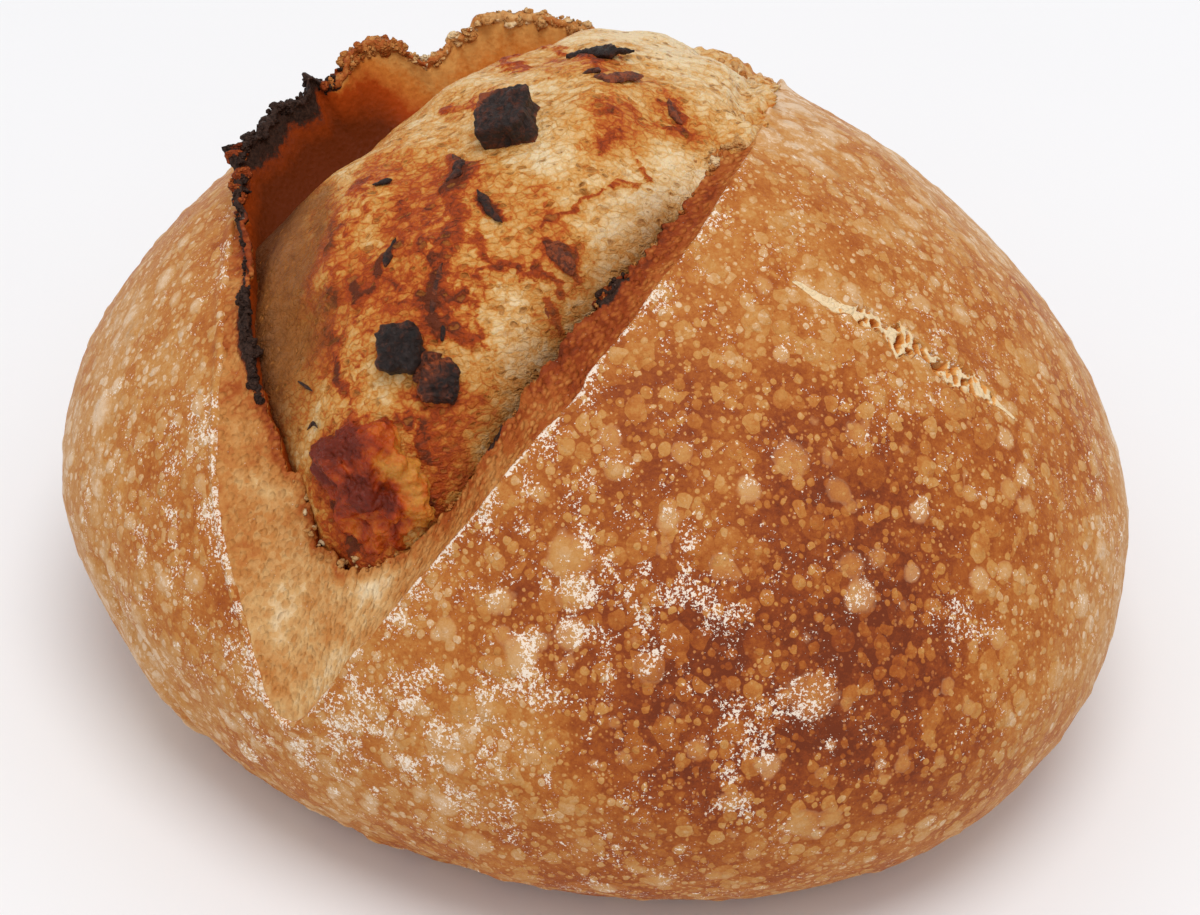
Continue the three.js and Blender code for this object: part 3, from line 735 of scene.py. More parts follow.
def crumb_material(look):
    """Open wheat crumb, stretched as the loaf burst and dried by the oven: a cream foam of drawn-out pores, soaked
    with melted cheese that has browned from amber to dark red."""
    material, add = new_material("stretched_wheat_crumb")
    place = add("TexCoord", out="Object")
    chart = add("Attribute", out="Vector", attribute_name="chart")
    stain = add("Attribute", out="Fac", attribute_name="stain")
    streak = add("Attribute", out="Fac", attribute_name="streak")
    pit = add("Attribute", out="Fac", attribute_name="pit")
    sheet_and_shade = add("Attribute", out="Fac", attribute_name="sheet_and_shade")
    shaded = add("Attribute", out="Fac", attribute_name="shade")

    mottle = add("TexNoise", {"Vector": place, "Scale": per_metre(2.2), "Detail": 4, "Roughness": 0.7})
    speckle = add("TexNoise", {"Vector": place, "Scale": per_metre(0.45), "Detail": 2, "Roughness": 0.75})
    wander = add("TexNoise", {"Vector": place, "Scale": per_metre(1.5), "Detail": 1}, out="Color")
    # Chart millimetres, shaken, turned along the stretch and drawn out in that direction.
    shaken = add("VectorMath", {0: wander, 1: (1.6,) * 3, 2: chart}, operation="MULTIPLY_ADD")
    turned = add("VectorRotate", {"Vector": shaken, "Angle": -look.stretch_heading}, rotation_type="Z_AXIS")
    drawn = add("Mapping", {"Vector": turned, "Scale": (0.62, 1.0, 1.0)})
    cell = add("TexVoronoi", {"Vector": drawn, "Scale": CRUMB_PORES})
    number = add("SeparateColor", {"Color": cell.node.outputs["Color"]})
    seam = add("TexVoronoi", {"Vector": drawn, "Scale": CRUMB_PORES}, feature="DISTANCE_TO_EDGE")
    wall = add("MapRange", {"Value": seam, "From Max": 0.22, "To Min": 1.0, "To Max": 0.0},
               interpolation_type="SMOOTHSTEP")
    open_size = add("MapRange", {"Value": number, "From Min": 0.45, "To Max": 0.5})
    pore_depth = add("Math", {0: open_size, 1: cell}, operation="SUBTRACT", use_clamp=True)
    pore = add("MapRange", {"Value": pore_depth, "From Max": 0.14}, interpolation_type="SMOOTHSTEP")

    shreds = add("TexNoise", {"Vector": drawn, "Scale": 1.0, "Detail": 4, "Roughness": 0.68})
    streak_level = summed(add, streak, [(mottle, 0.7), (shreds, 1.1)])
    streak_mask = add("MapRange", {"Value": streak_level, "From Min": 1.2, "From Max": 1.6},
                      interpolation_type="SMOOTHSTEP")
    streak_dark = add("MapRange", {"Value": streak_level, "From Min": 1.55, "From Max": 2.1})
    tone = summed(add, stain, [
        (mottle, 0.55), (speckle, 0.2), (wall, 0.12), (number, 0.2), (streak_mask, 0.27), (streak_dark, 0.11)])
    tone = add("Math", {0: tone, 1: 0.53}, operation="SUBTRACT")
    colour = add("ValToRGB", {"Fac": tone}, stops=[
        (0.0, look.crumb_light), (0.16, look.crumb_cream), (0.3, look.crumb_golden), (0.42, look.stain_amber),
        (0.54, look.stain_orange), (0.67, look.streak_red), (0.82, look.streak_brown), (1.0, look.streak_dark)])
    # Painted shade on the drawn sheet: where the shade field and a noise are high, the sheet colour runs to a dark
    # brown that stands for shade in the pocket. The sheet mask also paints shade along the crumb's right edge.
    painted_shade = summed(add, shaded, [(mottle, 1.8)])
    painted_shade = add("Math", {0: painted_shade, 1: 0.8}, operation="SUBTRACT", use_clamp=True)
    clear = add("Mix", {0: painted_shade, 6: look.sheet_and_shade, 7: look.sheet_shade}, out=2, data_type="RGBA")
    colour = add("Mix", {0: sheet_and_shade, 6: colour, 7: clear}, out=2, data_type="RGBA")
    # Pits and pores are painted darker: painted shade inside them.
    shade = summed(add, pit, [(pore, 0.6)])
    colour = add("Mix", {0: shade, 6: colour, 7: look.pore}, out=2, data_type="RGBA")

    height = add("Math", {0: pore_depth, 1: -1.6}, operation="MULTIPLY")
    height = summed(add, height, [(wall, -0.1), (shreds, 0.5), (mottle, 0.3), (speckle, 0.25)])
    bump = add("Bump", {"Height": height, "Strength": 1.0, "Distance": MM})
    shader = add("BsdfPrincipled", {
        "Base Color": colour, "Roughness": 0.36, "IOR": 1.4, "Specular IOR Level": 0.12, "Normal": bump,
        "Subsurface Weight": 0.12, "Subsurface Radius": (1.0, 0.5, 0.2), "Subsurface Scale": 0.0008})
    add("OutputMaterial", {"Surface": shader})
    return material


def charred_material(look):
    """Cheese and tomato burnt to charcoal in the oven: dull black-brown, cracked like bark, and red-brown where it
    is burnt less."""
    material, add = new_material("charred_filling")
    place = add("TexCoord", out="Object")
    brown_here = add("Attribute", out="Fac", attribute_name="brown")
    ridges = add("TexNoise", {"Vector": place, "Scale": per_metre(1.3), "Detail": 5, "Roughness": 0.7,
                              "Distortion": 0.8})
    fine = add("TexNoise", {"Vector": place, "Scale": per_metre(0.45), "Detail": 3})
    tone = add("Math", {0: ridges, 1: 1.1, 2: brown_here}, operation="MULTIPLY_ADD")
    colour = add("ValToRGB", {"Fac": tone}, stops=[
        (0.35, look.char_black), (0.65, look.char), (0.9, look.char_brown), (1.0, look.char_red)])
    height = add("Math", {0: fine, 1: 0.3, 2: ridges}, operation="MULTIPLY_ADD")
    bump = add("Bump", {"Height": height, "Strength": 1.0, "Distance": MM})
    shader = add("BsdfPrincipled", {
        "Base Color": colour, "Roughness": 0.5, "IOR": 1.5, "Specular IOR Level": 0.35, "Normal": bump})
    add("OutputMaterial", {"Surface": shader})
    return material


def melted_material(look):
    """Melted cheese soaked with tomato, set to a glossy, half clear red-orange skin with darker threads."""
    material, add = new_material("melted_filling")
    place = add("TexCoord", out="Object")
    dark_here = add("Attribute", out="Fac", attribute_name="dark")
    patchy = add("TexNoise", {"Vector": place, "Scale": per_metre(4.5), "Detail": 4, "Roughness": 0.6,
                              "Distortion": 0.6})
    fine = add("TexNoise", {"Vector": place, "Scale": per_metre(1.0), "Detail": 4})
    tone = add("Math", {0: patchy, 1: 1.0, 2: dark_here}, operation="MULTIPLY_ADD")
    tone = add("Math", {0: fine, 1: 0.35, 2: tone}, operation="MULTIPLY_ADD")
    colour = add("ValToRGB", {"Fac": tone}, stops=[
        (0.3, look.melt_amber), (0.55, look.melt_orange), (0.75, look.melt_red), (1.0, look.melt_dark)])
    height = add("Math", {0: fine, 1: 0.5, 2: patchy}, operation="MULTIPLY_ADD")
    bump = add("Bump", {"Height": height, "Strength": 1.0, "Distance": MM})
    shader = add("BsdfPrincipled", {
        "Base Color": colour, "Roughness": 0.36, "IOR": 1.46, "Specular IOR Level": 0.22, "Normal": bump,
        "Subsurface Weight": 0.25, "Subsurface Radius": (1.6, 0.4, 0.1), "Subsurface Scale": 0.0015})
    add("OutputMaterial", {"Surface": shader})
    return material


def table_material(look):
    """Matte white laminate table, pressed smooth: no gloss, with a grain too fine to see from a step away."""
    material, add = new_material("matte_white_laminate")
    place = add("TexCoord", out="Object")
    grain = add("TexNoise", {"Vector": place, "Scale": per_metre(60), "Detail": 2})
    colour = add("Mix", {0: grain, 6: look.floor, 7: look.floor_grain}, out=2, data_type="RGBA")
    shader = add("BsdfPrincipled", {"Base Color": colour, "Roughness": 0.9, "IOR": 1.45,
                                    "Specular IOR Level": 0.1})
    add("OutputMaterial", {"Surface": shader})
    return material


# ---- What a user would change ----
def colour_property(name, description, hex_colour):
    return bpy.props.FloatVectorProperty(
        name=name, description=description, subtype="COLOR", size=3, min=0, max=1, default=linear(hex_colour))


def length_property(name, description, default):
    return bpy.props.FloatProperty(name=name, description=description, default=default, unit="LENGTH", precision=5)


class CrustLook(bpy.types.PropertyGroup):
    """Sizes and colours of the outer crust and the torn skin."""

    seed: bpy.props.IntProperty(name="Seed", description="Scatter of the blisters", default=5, min=0)
    columns: bpy.props.IntProperty(name="Columns", description="Points round the crust", default=760, min=60)
    rows: bpy.props.IntProperty(name="Rows", description="Points from the lip down to the base", default=150, min=20)
    blister_count: bpy.props.IntProperty(
        name="Blisters", description="Blisters on the whole dome before those in the slash are left out",
        default=1900, min=0)
    blister_size: length_property("Blister size", "Width of a middling blister", 0.0024)
    blister_rise: length_property("Blister rise", "Height of a middling blister", 0.00030)
    ear_roughness: length_property("Ear roughness", "Height of the finest teeth along the torn rim", 0.0006)
    lip_rise: length_property("Lip rise", "How proud the cut edge of the crust stands", 0.0004)
    mottling: bpy.props.FloatProperty(
        name="Mottling", description="Unevenness of the glaze", default=0.6, min=0, max=2)
    blister_contrast: bpy.props.FloatProperty(
        name="Blister contrast", description="How much paler the blisters are", default=0.5, min=0, max=1)
    palest: colour_property("Palest", "Dried blister tops", "#e0bf9c")
    pale: colour_property("Pale", "Underbaked crust", "#cd9c68")
    golden: colour_property("Golden", "Lightly baked crust", "#c48a4b")
    tan: colour_property("Tan", "Middling crust", "#b77035")
    brown: colour_property("Brown", "Well baked crust", "#a45827")
    red_brown: colour_property("Red-brown", "Darkly baked crust", "#8c4322")
    darkest: colour_property("Darkest", "Nearly burnt crust", "#733620")
    # Partly the dry blisters' own colour, partly painted sheen on their tops and rims.
    dry_blister_and_sheen: colour_property("Dry blister", "Tops of the driest blisters", "#dcb98e")
    flour: colour_property("Flour", "Dusting flour", "#f6e6d4")
    face_cream: colour_property("Cream skin", "Palest torn skin", "#ebd0a6")
    face_pale: colour_property("Pale skin", "Torn skin at the near end", "#d5a66c")
    face_tan: colour_property("Tan skin", "Lightly baked torn skin", "#c28144")
    face_orange: colour_property("Orange skin", "Baked torn skin", "#ac5c29")
    face_red: colour_property("Red skin", "Well baked torn skin", "#903e1b")
    face_dark: colour_property("Dark skin", "Darkest torn skin", "#672c16")
    pocket_pale: colour_property("Pocket cream", "Inside the ear where it meets the crumb", "#e2a65c")
    pocket_gold: colour_property("Pocket gold", "Lighter parts inside the ear", "#cf7d35")
    pocket_orange: colour_property("Pocket orange", "Inside the ear", "#a64211")
    # Partly the skin's own colour and partly painted shade deep in the pocket.
    pocket_dark_and_shade: colour_property("Pocket dark", "Deepest inside the ear", "#66290c")
    char_light: colour_property("Ash", "Greyer parts of the burnt rim", "#4c352b")
    scorched: colour_property("Scorched", "Beside the burnt rim", "#7c3418")
    char: colour_property("Char", "Burnt rim", "#2a1e1a")


class CrumbLook(bpy.types.PropertyGroup):
    """Sizes and colours of the burst crumb."""

    spacing: length_property("Spacing", "Distance between the points of the crumb", 0.00047)
    stretch_heading: bpy.props.FloatProperty(
        name="Stretch heading", description="The way the crumb is drawn out, from the slash", subtype="ANGLE",
        default=math.radians(52))
    pore_size: length_property("Pore size", "Spacing of the larger pores", 0.0023)
    pore_depth: length_property("Pore depth", "Depth of the larger pores", 0.0006)
    crumb_light: colour_property("Light crumb", "Lightest crumb", "#ecd2a8")
    crumb_cream: colour_property("Cream crumb", "Most of the clean crumb", "#e4be88")
    crumb_golden: colour_property("Golden crumb", "Crumb touched by fat", "#d9a462")
    stain_amber: colour_property("Amber stain", "Cheese fat in the crumb", "#ce8c42")
    stain_orange: colour_property("Orange stain", "Browned cheese", "#c26a2a")
    streak_red: colour_property("Red streak", "Tomato baked into the crumb", "#ab481b")
    streak_brown: colour_property("Brown streak", "Darker tomato", "#983f1c")
    streak_dark: colour_property("Dark streak", "Nearly burnt tomato", "#66301c")
    # Painted shade inside the pores.
    pore: colour_property("Pore", "Inside of a pore", "#a8682f")
    # Partly the drawn sheet's own colour and partly painted shade; it also paints shade along the crumb's right edge.
    sheet_and_shade: colour_property("Drawn sheet", "Clear dough drawn out in the pocket", "#915524")
    # Painted shade down in the pocket, behind and under the crumb.
    sheet_shade: colour_property("Deep sheet", "The sheet's foot, down in the pocket", "#5a2c14")


class FillingLook(bpy.types.PropertyGroup):
    """Sizes and colours of the filling."""

    roughness: length_property("Roughness", "Depth of the cracks in a charred piece", 0.0005)
    char_black: colour_property("Black", "Charcoal", "#151010")
    char: colour_property("Char", "Charred filling", "#2c1c17")
    char_brown: colour_property("Brown", "Less burnt filling", "#65301a")
    char_red: colour_property("Red-brown", "Baked filling", "#94451f")
    melt_amber: colour_property("Amber", "Clear melted cheese", "#c88334")
    melt_orange: colour_property("Orange", "Melted cheese", "#bf5c1a")
    melt_red: colour_property("Red", "Tomato in the cheese", "#a03a12")
    melt_dark: colour_property("Dark", "Darkest tomato", "#6c2412")


class StageLook(bpy.types.PropertyGroup):
    """The table, the lights and the camera."""

    floor: colour_property("Table", "Matte table", "#f3f3f5")
    floor_grain: colour_property("Table grain", "Grain of the table", "#f1f1f3")
    sky_strength: bpy.props.FloatProperty(name="Sky", description="Light from all round", default=0.72, min=0)
    lamp_strength: bpy.props.FloatProperty(
        name="Soft box", description="Power of the large lamp", default=9.6, min=0, unit="POWER")
    lamp_size: length_property("Soft box size", "Width of the large lamp", 0.8)
    lamp_place: bpy.props.FloatVectorProperty(
        name="Soft box place", description="Middle of the large lamp", subtype="TRANSLATION", size=3,
        default=(0.11, -0.29, 1.5))
    camera_elevation: bpy.props.FloatProperty(
        name="Camera elevation", description="Above the table", subtype="ANGLE", default=math.radians(40))
    camera_distance: length_property("Camera distance", "From the camera to the loaf's middle", 0.55)
    camera_target: bpy.props.FloatVectorProperty(
        name="Camera target", description="Point at the middle of the view", subtype="TRANSLATION", size=3,
        default=(0.00187, -0.001, 0.03502))
    camera_lens: bpy.props.FloatProperty(
        name="Camera lens", description="Focal length on a 36 mm wide sensor", unit="CAMERA", default=95.49)


# ---- The crust ----
def on_lined_side(bearing):
    """1 where the slash has a crisp floured lip, 0 at the far end where the burst runs into the crust."""
    return sector(bearing, 44, 58, 312, 336)


def crust_relief(points):
    """Unevenness of the plain crust, in millimetres."""
    relief = 0.45 * rough(points, 13, 3, 2) + 0.22 * rough(points, 4, 7, 3)
    relief += blobs(points, SWELLINGS)
    relief += 0.8 * rough(points, 7, 97, 4) * smooth(26, 8, points[..., 2]) * smooth(30, -30, points[..., 0])
    return relief - FOLD_DEPTH * bell(line_distance(points, FOLD), FOLD_HALF_WIDTH)


def crust_fields(points, p, q, look):
    """Relief in millimetres and the masks that the crust's material reads, anywhere on the crust."""
    bearing, reach = bearing_of(p, q), np.hypot(p, q)
    from_lip = reach - slash_reach(bearing) - lip_wobble(bearing)
    grounded = smooth(0.5, 6, points[..., 2])
    raised, blister, milk = blister_relief(points, look)
    away_from_lip = smooth(1.5, 4.5, from_lip)
    share, side, width = tear_place(p, q)
    tear = smooth(0.85, 0.4, np.abs(side)) * (share > 0) * (share < 1) * smooth(0.9, 1.5, width)
    relief = (crust_relief(points) + raised * away_from_lip * (1 - tear)) * grounded - (TEAR_DEPTH + 0.4) * tear
    lined = on_lined_side(bearing)
    right = sector(bearing, 50, 80, 140, 165)
    bake = PLAIN_BAKE + blobs(points, BAKE_SPOTS) + 0.2 * rough(points, 10, 83, 3) + 0.1 * rough(points, 3.2, 87, 2)
    bake += 0.1 * bell(from_lip, 14) * right + 0.05 * smooth(16, 3, points[..., 2])
    bake -= 0.3 * bell(from_lip, 10) * (1 - lined) * (1 + rough(points, 4, 69, 3))
    flour = PLAIN_FLOUR + 0.43 * blobs(points, FLOUR_SPOTS) + 0.12 * bell(from_lip, 16) * right
    flour += lined * 0.2 * bell(from_lip, 3)
    flour = np.minimum(flour * np.clip(1 + 1.4 * rough(points, 3.0, 93, 3), 0.2, 1.8), 1.0)
    # The lip itself holds a thin line of flour, wiped off where the blade paused.
    dusty = np.clip(0.6 + 1.3 * rough(points, 2.5, 99, 3), 0, 1.2) * (0.6 + 0.45 * right)
    dusty *= lerp(0.55, 1.0, sector(bearing, 112, 128, 170, 185))
    dusty *= 1 - 0.9 * bell(bearing - PAUSE_BEARING, 2.2)
    flour += lined * 0.75 * dusty * bell(from_lip, 0.3)
    # The skin is stretched pale round the first part of the shoulder tear.
    off_tear = np.maximum(np.abs(side) * np.maximum(width, 0.3), 25 * np.maximum(-share, share - 1))
    pale = bell(off_tear, 2.4 + 1.6 * smooth(0.5, 0.1, share)) * (0.8 + 1.4 * rough(points, 2.2, 67, 3))
    bake -= 0.38 * np.clip(pale, 0, 1)
    flour += 0.3 * np.clip(pale, 0, 1)
    blister = np.where(away_from_lip > 0.5, blister, -1.0)
    return relief, {"bake": bake, "flour": flour, "blister": blister, "milk": milk}


def lip_wobble(bearing):
    """The slash isn't quite even: the blade wandered, and paused halfway along the right lip."""
    line = np.stack(along_bearing(bearing, slash_reach(bearing)), -1)
    step = sector(bearing, PAUSE_BEARING - 1, PAUSE_BEARING + 0.5, PAUSE_BEARING + 0.5, PAUSE_BEARING + 22.5)
    return 0.45 * rough(line, 9, 11, 3) + PAUSE_STEP * step


class LOAF_OT_crust(bpy.types.Operator):
    """Builds the outer crust, from the cut lip down to the flat base"""

    bl_idname = "loaf.crust"
    bl_label = "Crust"

    def execute(self, context):
        look = context.scene.loaf_crust
        bearing = column_bearings(look.columns)
        lip = slash_reach(bearing) + lip_wobble(bearing)
        base = base_reach(bearing)
        torn = np.stack([*along_bearing(bearing, slash_reach(bearing)), 0 * bearing], -1)
        rise = lerp(1.6 * rough(torn, 4, 105, 4) - 0.3, look.lip_rise / MM, on_lined_side(bearing))
        tuck = 1.8 * sector(bearing, 235, 262, 330, 345)
        # From deep under the burst, behind the pocket, up inside the lip, over it and down to the base.
        rows = [
            (lip + 3, -25.0),
            (lip + 3, -6.0),
            (lip + 0.6 + tuck, -2.4),
            (lip - 0.5 + tuck, rise - 1.6),
            (lip - 0.4 + 0.7 * tuck, rise - 0.6),
            (lip - 0.2 + 0.3 * tuck, rise - 0.12),
            (lip + 0.1, rise),
            (lip + 0.45, rise),
            (lip + 0.9, rise * 0.7),
            (lip + 1.5, rise * 0.35),
        ]
        inner = 4  # rows that have no relief, as the torn skin covers them
        for row in range(1, look.rows + 1):
            rows.append((lerp(lip + 1.5, base, row / look.rows), 0))
        reach, height = stacked(rows)
        p, q = along_bearing(bearing[None, :], reach)
        plain = chart_point(p, q, height)
        relief, fields = crust_fields(plain, p, q, look)
        relief[:inner] = 0
        points = plain + chart_direction(p, q) * relief[..., None]
        points[..., 2] = np.maximum(points[..., 2], 0)
        points[-1, :, 2] = 0
        points, faces = tube(points)
        add_piece("crust", points, faces, {k: with_ends(v) for k, v in fields.items()}, crust_material(look))
        return {"FINISHED"}


# The torn rim round the burst, as (bearing, height). From 262 to 340 degrees the heights follow a list that a
# scratch program worked out from an outline, with some then moved by eye.
RIM = [
    (0, -0.8), (45, -0.8), (60, -2.5), (90, -4.5), (135, -5), (165, -6.5), (180, -7), (195, -3.5), (210, 0),
    (235, 0.5), (247, 3.2), (253, 5.0), (258.5, 7.0), (264, 6.7), (268, 5.8), (271.5, 5.8), (276, 6.6),
    (280, 5.4), (283, 5.2), (285.5, 8.0), (287.5, 5.2), (290, 5.3), (293, 6.4), (296, 7.8), (301, 8.3),
    (304.5, 6.6), (307, 3.4), (310, 2.0), (313, 2.6), (316, 4.6), (318.5, 4.4), (321, 6.4), (325, 6.0),
    (329, 5.2), (334, 3.8), (338, 2.8), (341, 1.4), (346, 0.2), (352, -0.8),
]
# How far the burnt band reaches down from the rim, as (bearing, millimetres).
BURNT_BAND = [
    (0, 0), (101, 0), (105, 1.2), (112, 1.8), (116, 0), (145, 0), (147, 1.2), (151, 0), (165, 0), (198, 0),
    (203, 1.4), (210, 2.8), (217, 2.4), (222, 0.5), (240, 0.6), (250, 2.0), (256, 5.0), (263, 7.5), (276, 6.5),
    (285, 5.0), (289, 1.2), (295, 0), (340, 0),
]
# Thin drawn web at the near end: places in the chart, radius and strength.
WHITE_WEB = [(-73, 12, 5, 1.0), (-77, 14, 4, 1.0)]
# How far the torn skin is baked, as (bearing, bake), from 0, pale, to 1, nearly burnt.
FACE_BAKE = [
    (0, 0.15), (40, 0.18), (54, 0.45), (70, 0.64), (100, 0.7), (130, 0.66), (148, 0.5), (158, 0.36), (168, 0.17),
    (180, 0.12), (190, 0.24), (200, 0.42), (212, 0.48), (225, 0.48), (240, 0.5), (270, 0.52), (292, 0.6),
    (305, 0.55), (318, 0.35), (345, 0.3),
]
# Points of the torn skin: round it, down the cut face, round the torn edge in degrees, and down the pocket's wall.
SKIN_COLUMNS = 960
FACE_ROWS = 56
EDGE_TURNS = (30, 60, 90, 125, 160)
POCKET_ROWS = 20


class LOAF_OT_cut_faces(bpy.types.Operator):
    """Builds the torn skin between the lips and the burst: the cut faces, the ragged rim and the pocket"""

    bl_idname = "loaf.cut_faces"
    bl_label = "Cut faces and torn rim"

    def execute(self, context):
        look = context.scene.loaf_crust
        bearing = column_bearings(SKIN_COLUMNS)
        lip = slash_reach(bearing) + lip_wobble(bearing)
        line = np.stack([*along_bearing(bearing, slash_reach(bearing)), 0 * bearing], -1)
        ear = sector(bearing, 205, 250, 325, 345)
        near_end = sector(bearing, 150, 172, 196, 214)
        right = sector(bearing, 60, 90, 150, 165)
        ragged = look.ear_roughness / MM * rough(line, 2.2, 21, 4) * lerp(0.7, 1.3, ear)
        rim = tear_reach(bearing) + (2.2 * rough(line, 6, 43, 4)) * near_end
        top = around_bearing(RIM)(bearing) + ragged + 0.8 * right
        thick = rim_thickness(bearing)
        pocket = pocket_reach(bearing)
        floor = pocket_floor(bearing)
        edge = rim + 0.25 * thick + (0.5 + 0.9 * right) * rough(line, 2.6, 41, 4)
        # From inside the lip down the cut face, round the torn edge, then down the pocket's wall to its foot.
        rows = [(lip + 1.2, FACE_RISE - 3), (lip + 0.3, FACE_RISE - 1.3)]
        depth_in = [0.0, 0.0]
        for row in range(FACE_ROWS + 1):
            t = row / FACE_ROWS
            rows.append((lerp(lip - 0.2, edge, t), lerp(FACE_RISE - 0.5, top, t) - FACE_SAG * math.sin(math.pi * t)))
            depth_in.append(0.0)
        for turn in EDGE_TURNS:
            angle = math.radians(turn)
            rows.append((edge - 0.3 * thick * math.sin(angle), top - 0.25 * thick * (1 - math.cos(angle))))
            depth_in.append(0.0)
        for t in np.linspace(0.05, 1, POCKET_ROWS).tolist():
            rows.append((lerp(edge - 0.1 * thick, rim + 0.9 * pocket, math.sin(t * math.pi / 2)),
                         lerp(top - 0.5 * thick, lerp(floor, top - thick, 0.45), t)))
            depth_in.append(t)
        rows += [(rim + pocket, floor), (rim - 1 + 0.5 * pocket, (floor - VALLEY_DEPTH) / 2),
                 (rim - 5, -VALLEY_DEPTH), (lip + 1.2, -VALLEY_DEPTH)]
        depth_in += [1.0, 1.2, 1.2, 1.2]
        depth_in = np.array(depth_in)[:, None]
        reach, height = stacked(rows)
        p, q = along_bearing(bearing[None, :], reach)
        plain = chart_point(p, q, height)
        shown = np.ones((len(rows), 1))
        shown[:3] = shown[-4:] = 0
        bubble, number = cells(np.stack([p / 1.5, q], -1), 1.5, 5)
        bubbled = np.clip(1 - (bubble / (0.3 + 0.35 * number)) ** 2, 0, 1)
        band = around_bearing(BURNT_BAND)(bearing)
        from_rim = np.where(depth_in > 0, top - height, np.abs(reach - edge))
        char = lerp(-1, np.clip(1 - from_rim / np.maximum(band, 0.01), -1, 1), smooth(0.1, 0.6, band))
        # Relief: bubbles on the cut faces, a coarser skin on the ear and crumbs of char on its rim.
        relief = 0.3 * rough(plain, 3.2, 17, 3) + 0.25 * bubbled * (1 - ear)
        relief += 0.6 * rough(plain, 2.2, 23, 3) * ear * smooth(0.6, 0.0, depth_in)
        relief += 0.8 * rough(plain, 1.1, 29, 3) * np.clip(char, 0, 0.5)
        relief *= shown * (1 - 0.85 * np.clip(depth_in, 0, 1))
        points = plain + chart_direction(p, q) * relief[..., None]
        outside = depth_in <= 0
        flour = on_lined_side(bearing) * 0.35 * bell(lip - reach, 0.4) * outside + 0.25 * outside
        bake = around_bearing(FACE_BAKE)(bearing) + 0.18 * rough(plain, 7, 61, 3) + 0.16 * rough(plain, 2.4, 65, 3)
        bake += right * (0.12 * bell(reach - edge, 2.5) - 0.08 * bell(reach - lip, 2))
        left = sector(bearing, 192, 205, 270, 300)
        bake += 0.32 * bell(reach - edge, 1.6) * np.maximum(left, near_end)
        bake -= 0.2 * blobs(np.stack([p, q], -1), WHITE_WEB)
        # Inside the ear the skin darkens with depth, less so towards the far end: partly its own colour and partly
        # painted shade in the pocket.
        inner = np.clip(depth_in, 0, 1) * (1 - 0.75 * smooth(288, 306, bearing)) + 0.24 * smooth(304, 288, bearing)
        inner = np.where(depth_in > 0, np.maximum(inner, 0.03), 0)
        fields = {"char": char, "bake": bake, "flour": flour, "inner": inner,
                  "chart": np.stack([p, q, height], -1)}
        add_piece("cut_faces", points, [ring_quads(*reach.shape, wrapped=True)], fields,
                  torn_skin_material(look))
        return {"FINISHED"}


# Stretches of rim as (from bearing, to bearing, bits, smallest and largest radius, spread, share burnt, bake).
RIM_STRETCHES = [
    (248, 262, 40, 0.4, 1.1, 1.3, 0.25, 0.7), (257, 288, 90, 0.3, 0.9, 0.9, 1.0, 0.8),
    (287, 293, 30, 0.3, 0.9, 1.0, 0.5, 0.75), (292, 306, 110, 0.35, 1.0, 1.3, 0.0, 0.4),
    (306, 341, 150, 0.3, 0.9, 1.2, 0.0, 0.12), (199, 222, 60, 0.3, 0.8, 0.6, 1.0, 0.8),
    (222, 250, 60, 0.15, 0.4, 0.25, 0.9, 0.8), (102, 115, 70, 0.3, 1.1, 1.2, 0.75, 0.8),
    (144, 152, 16, 0.25, 0.6, 0.5, 0.9, 0.8), (55, 160, 160, 0.15, 0.45, 0.5, 0.0, 0.4),
    (162, 190, 60, 0.2, 0.6, 1.6, 0.0, 0.2), (0, 60, 220, 0.4, 1.3, 2.4, 0.0, 0.14),
    (345, 360, 60, 0.4, 1.2, 2.0, 0.0, 0.12),
]
# Only bits of a larger radius than this have fine facets, to keep the piece light.
FINE_BIT = 0.7


class LOAF_OT_rim_crumbs(bpy.types.Operator):
    """Scatters the crumbly, partly burnt bits that stand along the torn rim"""

    bl_idname = "loaf.rim_crumbs"
    bl_label = "Rim crumbs"

    def execute(self, context):
        look = context.scene.loaf_crust
        random = np.random.default_rng(12)
        fine, coarse = (block_points((2, 2, 2), 2, cuts) for cuts in (4, 2))
        rim_top = around_bearing(RIM)
        bits, char, bake, grain = [], [], [], []
        for start, end, count, smallest, largest, spread, burnt, baked in RIM_STRETCHES:
            for _ in range(count):
                bearing = random.uniform(start, end)
                radius = smallest + (largest - smallest) * random.random() ** 2
                reach = tear_reach(bearing) + 0.3 * rim_thickness(bearing) + random.normal(0, 0.5) * spread
                height = rim_top(bearing) - 0.4 * radius + random.uniform(-1.3, 0.3) * spread
                p, q = along_bearing(bearing, reach)
                ball, way, quads = fine if radius > FINE_BIT else coarse
                lump = ball * radius * random.uniform(0.5, 1.5, 3)
                lump = lump + way * (radius * 1.1 * rough(way * 0.8 + 3.7 * len(bits), 0.9, 3, 3))[:, None]
                char.append(np.full(len(lump), 1.0 if random.random() < burnt else -1.0))
                bake.append(np.full(len(lump), baked + random.normal(0, 0.12)))
                grain.append(lump * 2 + 5 * len(bits))
                bits.append((lump + chart_point(np.array([p]), np.array([q]), height), [quads]))
        points, faces = joined(bits)
        zero = np.zeros(len(points))
        fields = {"char": np.concatenate(char), "bake": np.concatenate(bake), "flour": zero + 0.2, "inner": zero,
                  "chart": np.concatenate(grain)}
        add_piece("rim_crumbs", points, faces, fields, torn_skin_material(look))
        return {"FINISHED"}


